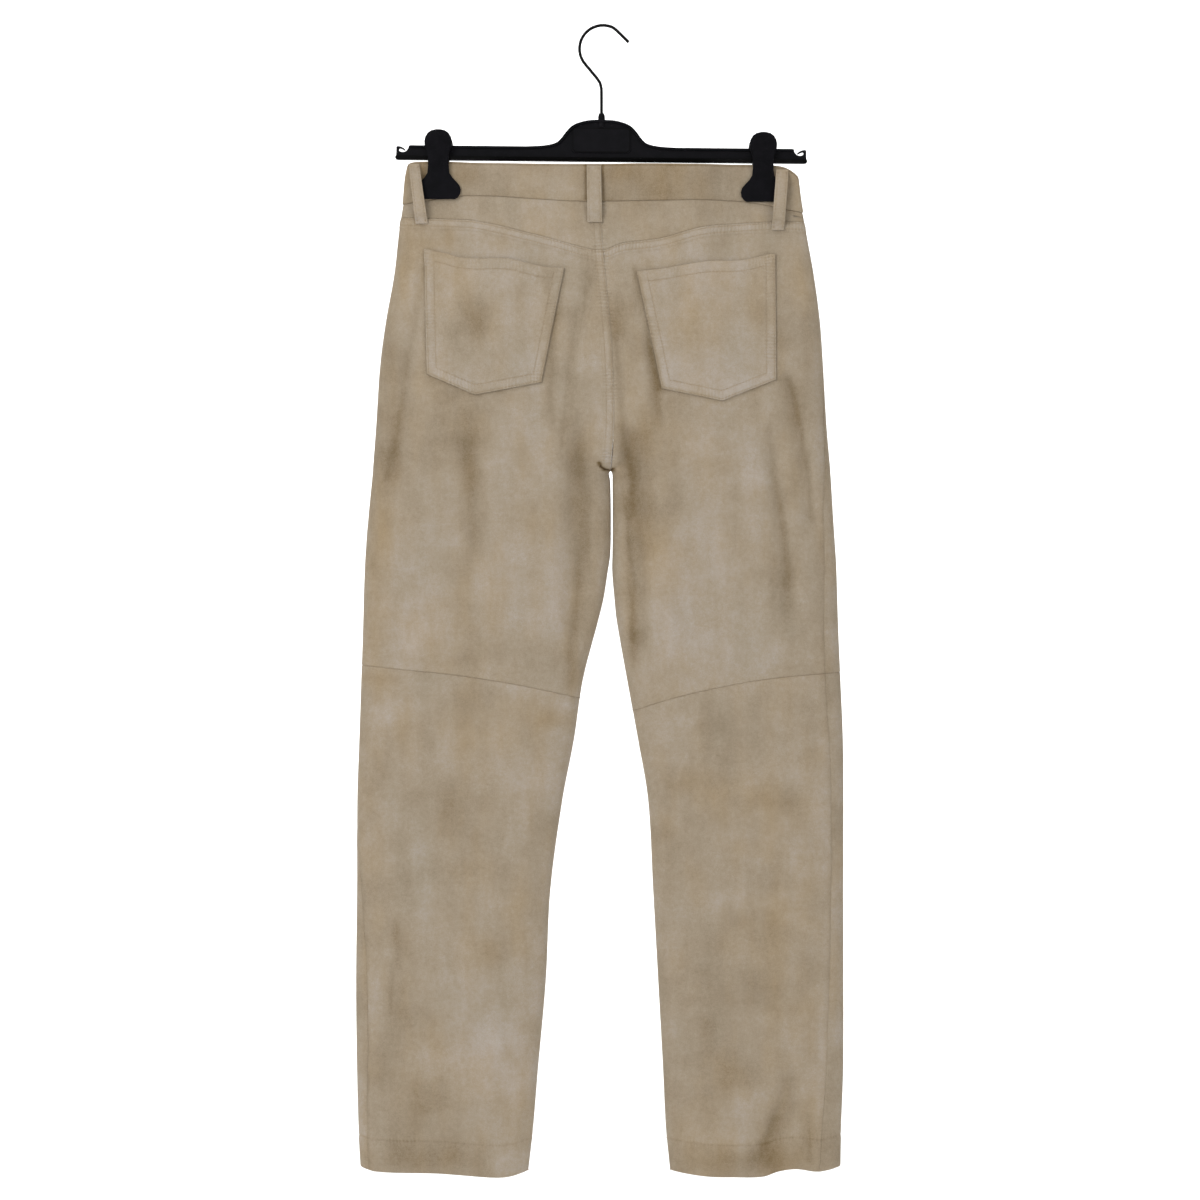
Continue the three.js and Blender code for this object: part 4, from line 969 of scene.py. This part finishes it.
def on_cloth(x, z, face, out):
    """Places over the cloth on both sides of the centre seam, moved out from its face."""
    left = (x < section("left_inner", z))[..., None]
    return np.where(left, on_leg(LEFT, x, z, face, out), on_leg(RIGHT, x, z, face, out))


def patch(shape, columns, rows):
    """The places (x, z) of a patch, [column, row]."""
    u, v = np.meshgrid(columns, rows, indexing="ij")
    x = between((between(shape["left"], v), between(shape["right"], v)), u)
    return x, between((shape["top"](x), shape["bottom"](x)), v)


def straight(places):
    xs, zs = zip(*places)
    return lambda x: np.interp(x, xs, zs)


POCKET_LIFT = 0.8
POCKETS = {
    "pocket_left": dict(
        side=LEFT, left=(-177.4, -173.8), right=(-37.3, -60.1),
        top=(
            (-177.8, -222.9), (-156, -227.7), (-143, -231.5), (-123, -233.1), (-104, -233), (-90, -234.2),
            (-60.6, -241.3), (-36.8, -243.2),
        ),
        bottom=((-173.8, -349), (-126.2, -369.6), (-59.6, -357.2)),
    ),
    "pocket_right": dict(
        side=RIGHT, left=(34.3, 59.1), right=(172.8, 172.8),
        top=(
            (33.8, -246.4), (61.6, -243.5), (83.4, -239.6), (107.3, -236), (138, -234.8), (150, -232.6),
            (166, -228.6), (172.8, -228.6),
        ),
        bottom=((58.6, -363.1), (119.2, -375.5), (172.8, -354.5)),
    ),
}


POCKET_STEPS = (0, 0.35, 0.9, 1.8, 2.7, 4.2, 6.2, 8.0, 8.7, 9.5, 10.3, 11.2, 13.2)
POCKET_ROWS = (1.8, 9.5)
POCKET_HEM = (0, 0.35, 0.9, 2, 4.5, 7.5, 9.6, 10.3, 11, 11.7, 12.6, 15)
POCKET_HEM_ROW = 11


def pocket_grid(facts, top, bottom):
    """The places (x, z) of a pocket's points: close together beside its sewing."""
    steps, last = np.array(POCKET_STEPS), POCKET_STEPS[-1]
    inside = even(37)[1:-1]
    share = np.concatenate([steps * 0, inside, steps * 0 + 1])[:, None]
    more = np.concatenate([steps, last * (1 - 2 * inside), -steps[::-1]])[:, None]
    rows = seam_rows(POCKET_HEM, 47, POCKET_STEPS[::-1])
    share_top, share_bottom, below = (rows[:, k][None, :] for k in range(3))
    down = np.linspace(0, 1, len(rows))[None, :]
    for _ in range(5):
        left, right = between(facts["left"], down), between(facts["right"], down)
        x = left * (1 - share) + right * share + more
        z = share_top * top(x) + share_bottom * bottom(x) + below
        down = (top(x) - z) / (top(x) - bottom(x))
    return x, z, x - left, right - x


def make_pocket(name, facts):
    top, bottom = seam(facts["top"]), straight(facts["bottom"])
    x, z, from_left, from_right = pocket_grid(facts, top, bottom)
    sides, foot, head = np.minimum(from_left, from_right) * 0.99, (z - bottom(x)) * 0.96, top(x) - z
    border = np.minimum(sides, foot)
    edge = np.minimum(border, head)
    rise = -0.8 * fade(edge, 0.5) + 0.3 * gathered(border - 10.5, 1.5)
    for row in POCKET_ROWS:
        rise = rise - GROOVE_DEPTH * hump(border - row, GROOVE_WIDTH)
    rise = rise - GROOVE_DEPTH * hump(head - POCKET_HEM_ROW, GROOVE_WIDTH)
    rise = rise + 0.2 * gathered(head - 11.5, 1.5)
    rise = rise + 0.5 * smooth(1 - head / 16) * smooth((sides - 12) / 30)
    side = facts["side"]
    outer = on_leg(side, x, z, BACK, POCKET_LIFT + SUEDE + rise)
    inner = on_leg(side, x, z, BACK, POCKET_LIFT)
    tone, warm = nap_and_painted_shading(np.full(x.shape, BACK), x, z)
    # Painted shade along the pocket's sunk edge and in the grooves of its rows, painted light on its raised
    # border.
    tone = tone - 0.10 * fade(edge, 0.7) + 0.03 * gathered(border - 10, 2)
    for row in POCKET_ROWS:
        tone = tone - 0.09 * hump(border - row, GROOVE_SHADE_WIDTH) * smooth((head - 2) / 3)
    tone = tone - 0.08 * hump(head - POCKET_HEM_ROW, GROOVE_SHADE_WIDTH) * smooth((sides - 9) / 2)
    down = 0.8 * gathered(sides - 8, 5) + 0.1
    across = 0.8 * np.maximum(gathered(foot - 8, 5), 0.7 * gathered(head - 9, 5))
    material = suede(f"suede_{name}", (1.3 * side, 0.6, 0.2), 0.04)
    cloth(name, outer, inner, (tone, warm, across, down), material)


for name, facts in POCKETS.items():
    make_pocket(name, facts)

LOOP_THICK = 1.8
LOOP_SEWN = 0.05
LOOP_WIDTH = 12.5
LOOP_LENGTH = 57
LOOPS = {
    "loop_back_centre": (BACK, (-15.2, -14.6), (-1, 0.4), -140.5, -197.2, 3),
    "loop_back_left": (BACK, (-193, -186), (-182.3, -173.6), -137.6, -197.8, 6.3),
    "loop_back_right": (BACK, (173.8, 169), (186.4, 181.6), -143.4, -204.4, 6.3),
    "loop_front_left": (FRONT, (-112, -112), (-98, -98), -140.8, -197, 3),
    "loop_front_right": (FRONT, (96, 96), (110, 110), -141.2, -199, 3),
}
LOOP_COLUMNS = ("face", "left", "right", "high", "low", "bow")
LOOPS = {name: dict(zip(LOOP_COLUMNS, row)) for name, row in LOOPS.items()}


def loop_lift(facts, share):
    """How far out a loop's inside lies, down its length from 0 to 1: only its sewn ends touch."""
    free = smooth((np.minimum(share, 1 - share) - LOOP_SEWN) / 0.16)
    return BAND_PROUD + 0.5 + free * facts["bow"]


def make_loop(name, facts):
    shape = {**facts, "top": lambda x: x * 0 + facts["high"], "bottom": lambda x: x * 0 + facts["low"]}
    columns, rows = even(16), even(90)
    x, z = patch(shape, columns, rows)
    across = np.minimum(columns, 1 - columns)[:, None] * LOOP_WIDTH
    end = np.minimum(rows, 1 - rows)[None, :] * LOOP_LENGTH
    crown = -0.5 * fade(across, 0.7) - 0.35 * hump(across - 2, 0.8) - 0.5 * fade(end, 0.7)
    lift = loop_lift(facts, rows)[None, :]
    outer = on_cloth(x, z, facts["face"], lift + LOOP_THICK + crown)
    inner = on_cloth(x, z, facts["face"], lift + 0.3 * fade(across, 0.7))
    # Painted shade along the loop's rolled edges; the loop is otherwise a touch lighter.
    tone = np.broadcast_to(0.03 - 0.05 * fade(across, 1.2), x.shape)
    pucker = np.broadcast_to(0.25 * hump(across - 2, 2), x.shape)
    material = suede(f"suede_{name}", (facts["left"][0] * 0.01, 0.9, 0.4), 0.03)
    cloth(name, outer, inner, (tone, tone * 0, tone * 0, pucker), material)


for name, facts in LOOPS.items():
    make_loop(name, facts)

FLY_WIDTH = 36
FLY_TOP = -178
FLY_FOOT = -335
FLY_LIFT = 0.5


def make_fly():
    edge = [float(section("left_inner", z)) - 1 for z in (FLY_TOP, -330)]
    shape = dict(
        left=[e - FLY_WIDTH for e in edge], right=edge, top=lambda x: x * 0 + FLY_TOP - 0.5,
        bottom=lambda x: FLY_FOOT + 22 * smooth((edge[1] - 12 - x) / FLY_WIDTH) ** 1.5,
    )
    columns = even(24)
    x, z = patch(shape, columns, even(80))
    across = np.minimum(columns, 1 - columns)[:, None] * FLY_WIDTH
    sunk = np.broadcast_to(-0.7 * fade(across, 0.8), x.shape)
    outer = on_leg(LEFT, x, z, FRONT, FLY_LIFT + SUEDE + sunk)
    inner = on_leg(LEFT, x, z, FRONT, FLY_LIFT)
    # Painted shade along the placket's sunk edges.
    values = (sunk * 0.05, sunk * 0, sunk * 0, 0.4 * fade(across, 3) + sunk * 0)
    cloth("fly_placket", outer, inner, values, suede("suede_fly", (0.2, 1.9, 0.7)))


make_fly()


# Stitches: short lengths of thread, half sunk in the suede, in rows along places (x, z).
STITCH_PITCH = 3.4
STITCH_LENGTH = 2.5
STITCH_RADIUS = 0.3
STITCH_SIDES = 5
STITCH_RINGS = ((0, 0.25), (0.16, 0.85), (0.5, 1), (0.84, 0.85), (1, 0.25))  # shares of length and radius


def unit(vectors):
    return vectors / np.linalg.norm(vectors, axis=-1, keepdims=True)


def shifted(path, off):
    """A path moved sideways by off, to the right as one walks along it."""
    path = np.array(path, float)
    ahead = unit(np.diff(path, axis=0))
    side = np.stack([ahead[:, 1], -ahead[:, 0]], axis=1)
    moved = [path[0] + side[0] * off]
    for k in range(1, len(path) - 1):
        both = side[k - 1] + side[k]
        moved.append(path[k] + both * 2 * off / max(float(both @ both), 0.5))
    return np.array(moved + [path[-1] + side[-1] * off])


def walked(path, step):
    """Places every step along a path."""
    path = np.array(path, float)
    far = np.concatenate([[0], np.linalg.norm(np.diff(path, axis=0), axis=1).cumsum()])
    at = np.arange(step / 2, far[-1], step)
    return np.stack([np.interp(at, far, path[:, k]) for k in range(2)], axis=1)


def stitch_row(path, face, lift, pitch=STITCH_PITCH, length=STITCH_LENGTH):
    """The ends of each stitch of a row. lift is one height or a function of the height z."""
    centres = walked(path, pitch)
    half = unit(np.gradient(centres, axis=0)) * length / 2
    ends = []
    for x, z in ((centres - half).T, (centres + half).T):
        ends.append(on_cloth(x, z, face, lift(z) if callable(lift) else lift))
    return np.stack(ends, axis=1)


def stitches_object(name, rows):
    """Each stitch is a spindle of thread."""
    ends = np.concatenate(rows)
    along = unit(ends[:, 1] - ends[:, 0])
    out = np.zeros(along.shape)
    out[:, 1] = np.where(ends[:, 0, 1] < 0, -1, 1)
    side = unit(np.cross(along, out))
    out = np.cross(side, along)
    rings = []
    for t, radius in STITCH_RINGS:
        for turn in np.arange(STITCH_SIDES) * 2 * math.pi / STITCH_SIDES:
            spread = side * math.cos(turn) + out * math.sin(turn) * 0.8
            rings.append(between((ends[:, 0], ends[:, 1]), t) + spread * radius * STITCH_RADIUS)
    size = len(rings)
    faces = [tuple(range(STITCH_SIDES))[::-1], tuple(range(size - STITCH_SIDES, size))]
    for first in range(0, size - STITCH_SIDES, STITCH_SIDES):
        for k in range(STITCH_SIDES):
            a, b = first + k, first + (k + 1) % STITCH_SIDES
            faces.append((a, b, b + STITCH_SIDES, a + STITCH_SIDES))
    every = [[n * size + i for i in face] for n in range(len(ends)) for face in faces]
    obj = mesh_object(f"stitches_{name}", np.stack(rings, axis=1).reshape(-1, 3), every, THREAD)
    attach(obj, "root")


def sew_seat():
    x, z = np.linspace(-200, 201, 120), np.linspace(-182, -428, 80)
    yoke, centre = curve(YOKE_SEAM, x), section("left_inner", z)
    paths = [np.stack([x, yoke - off], axis=1) for off in FELL_ROWS]
    paths += [np.stack([centre - off, z], axis=1) for off in FELL_ROWS]
    stitches_object("seat", [stitch_row(path, BACK, FELL_LIFT) for path in paths])


def sew_pocket(name, facts):
    top, (left, point, right) = seam(facts["top"]), facts["bottom"]
    ends = [(facts[edge][0], float(top(facts[edge][0]))) for edge in ("left", "right")]
    corners = [ends[0], (facts["left"][1], left[1]), point, (facts["right"][1], right[1]), ends[1]]
    height = POCKET_LIFT + SUEDE + 0.1
    rows = [stitch_row(shifted(corners, -off), BACK, height) for off in POCKET_ROWS]
    x = np.linspace(facts["left"][0] + 11, facts["right"][0] - 11, 30)
    rows.append(stitch_row(np.stack([x, top(x) - POCKET_HEM_ROW], axis=1), BACK, height))
    stitches_object(name, rows)


def sew_loop(name, facts):
    high, low = facts["high"], facts["low"]

    def height(z):
        return loop_lift(facts, (high - z) / (high - low)) + LOOP_THICK - 0.25

    rows = []
    for edge, off in (("left", 2), ("right", -2)):
        path = [(between(facts[edge], v) + off, z) for z, v in ((high - 1.5, 0.026), (low + 1.5, 0.974))]
        rows.append(stitch_row(path, facts["face"], height))
    for z, v in ((high - 2.5, 0.04), (low + 3, 0.95)):
        path = [(between(facts["left"], v) + 1, z), (between(facts["right"], v) - 1, z)]
        rows.append(stitch_row(path, facts["face"], height, 1.3, 1.2))
    stitches_object(name, rows)


def sew_fly():
    edge = float(section("left_inner", -250)) - 1
    bend = ((33, -182), (33, -295), (31, -310), (24, -322), (12, -330), (3, -333))
    path = [(edge - x, z) for x, z in bend]
    rows = [stitch_row(shifted(path, off), FRONT, FLY_LIFT + SUEDE + 0.1) for off in (0, -6)]
    stitches_object("fly", rows)


sew_seat()
for name, facts in POCKETS.items():
    sew_pocket(name, facts)
for name, facts in LOOPS.items():
    sew_loop(name, facts)
sew_fly()

# The hanger, its clips and the button keep the frame's own shapes.
FINISHES = {
    "hanger_bar": BAR_PLASTIC, "hanger_plate": PLATE_PLASTIC, "hook_collar": BLACK_PLASTIC,
    "hook": BLACK_WIRE, "button": AGED_BRASS,
}
for side in HAND.values():
    for part in ("back_jaw", "front_jaw"):
        FINISHES[f"clip_{side}_{part}"] = BLACK_PLASTIC
    FINISHES[f"clip_{side}_spring"] = STRIP_STEEL
for node, finish in FINISHES.items():
    for material_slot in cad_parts[node].material_slots:
        material_slot.material = finish

# Stage, light and camera
CAMERA_FAR = 3.0
SENSOR_MM = 36
PHOTO_WIDE = 1.2  # metres that the photograph's frame spans at the garment
LOOK_AT = (-0.002, 0.0, -0.5732)
FLOOR_Z = -1.30
BACKDROP_Y = 4.4


def stage():
    """A plain pale floor that curves up into a backdrop, so far off that every view is from inside it."""
    bend = 1.4
    flat = BACKDROP_Y - bend
    profile = [(-5.0, 0.0), (flat, 0.0)]
    for turn in np.linspace(0.1, math.pi / 2, 14):
        profile.append((flat + bend * math.sin(turn), bend - bend * math.cos(turn)))
    profile.append((BACKDROP_Y, 4.2))
    points = [(x, y, FLOOR_Z + z) for x in (-6, 6) for y, z in profile]
    n = len(profile)
    faces = [(k, k + 1, n + k + 1, n + k) for k in range(n - 1)]
    s = Shader("pale_paper", Roughness=0.9)
    paper = s.noise(s.place, 40, 3, 0.5)
    s.set("Base Color", s.ramp(paper, [(0.3, (0.93, 0.93, 0.93)), (0.7, (0.95, 0.95, 0.95))]))
    obj = mesh_object("floor", np.array(points) / MM, faces, s.material)


def area_light(name, place_at, target, size, power):
    light = bpy.data.lights.new(name, "AREA")
    light.shape = "RECTANGLE"
    light.size, light.size_y = size
    light.energy = power
    obj = added(name, light)
    obj.location = place_at
    obj.rotation_euler = (Vector(target) - Vector(place_at)).to_track_quat("-Z", "Y").to_euler()


def lights():
    area_light("key", (-1.9, -2.6, 0.9), (0, 0, -0.6), (1.6, 2.2), 54)
    area_light("fill", (2.2, -2.6, -0.2), (0, 0, -0.6), (1.8, 2.4), 20)
    area_light("top", (0, -0.6, 1.7), (0, 0, -0.5), (2.4, 1.2), 16)
    area_light("backdrop", (0, 2.6, 2.8), (0, 3.9, -0.8), (6, 1.2), 250)
    world = bpy.data.worlds.new("studio")
    world.use_nodes = True
    sky = world.node_tree.nodes["Background"]
    sky.inputs["Color"].default_value = (1, 1, 1, 1)
    sky.inputs["Strength"].default_value = 0.34
    bpy.context.scene.world = world


def camera():
    data = bpy.data.cameras.new("camera")
    data.sensor_fit = "HORIZONTAL"
    data.sensor_width = SENSOR_MM
    data.lens = SENSOR_MM * CAMERA_FAR / PHOTO_WIDE
    data.clip_end = 30
    obj = added("camera", data)
    obj.location = (LOOK_AT[0], -CAMERA_FAR, LOOK_AT[2])
    obj.rotation_euler = (math.pi / 2, 0, 0)
    bpy.context.scene.camera = obj


stage()
lights()
camera()
bpy.context.scene.view_settings.view_transform = "Standard"
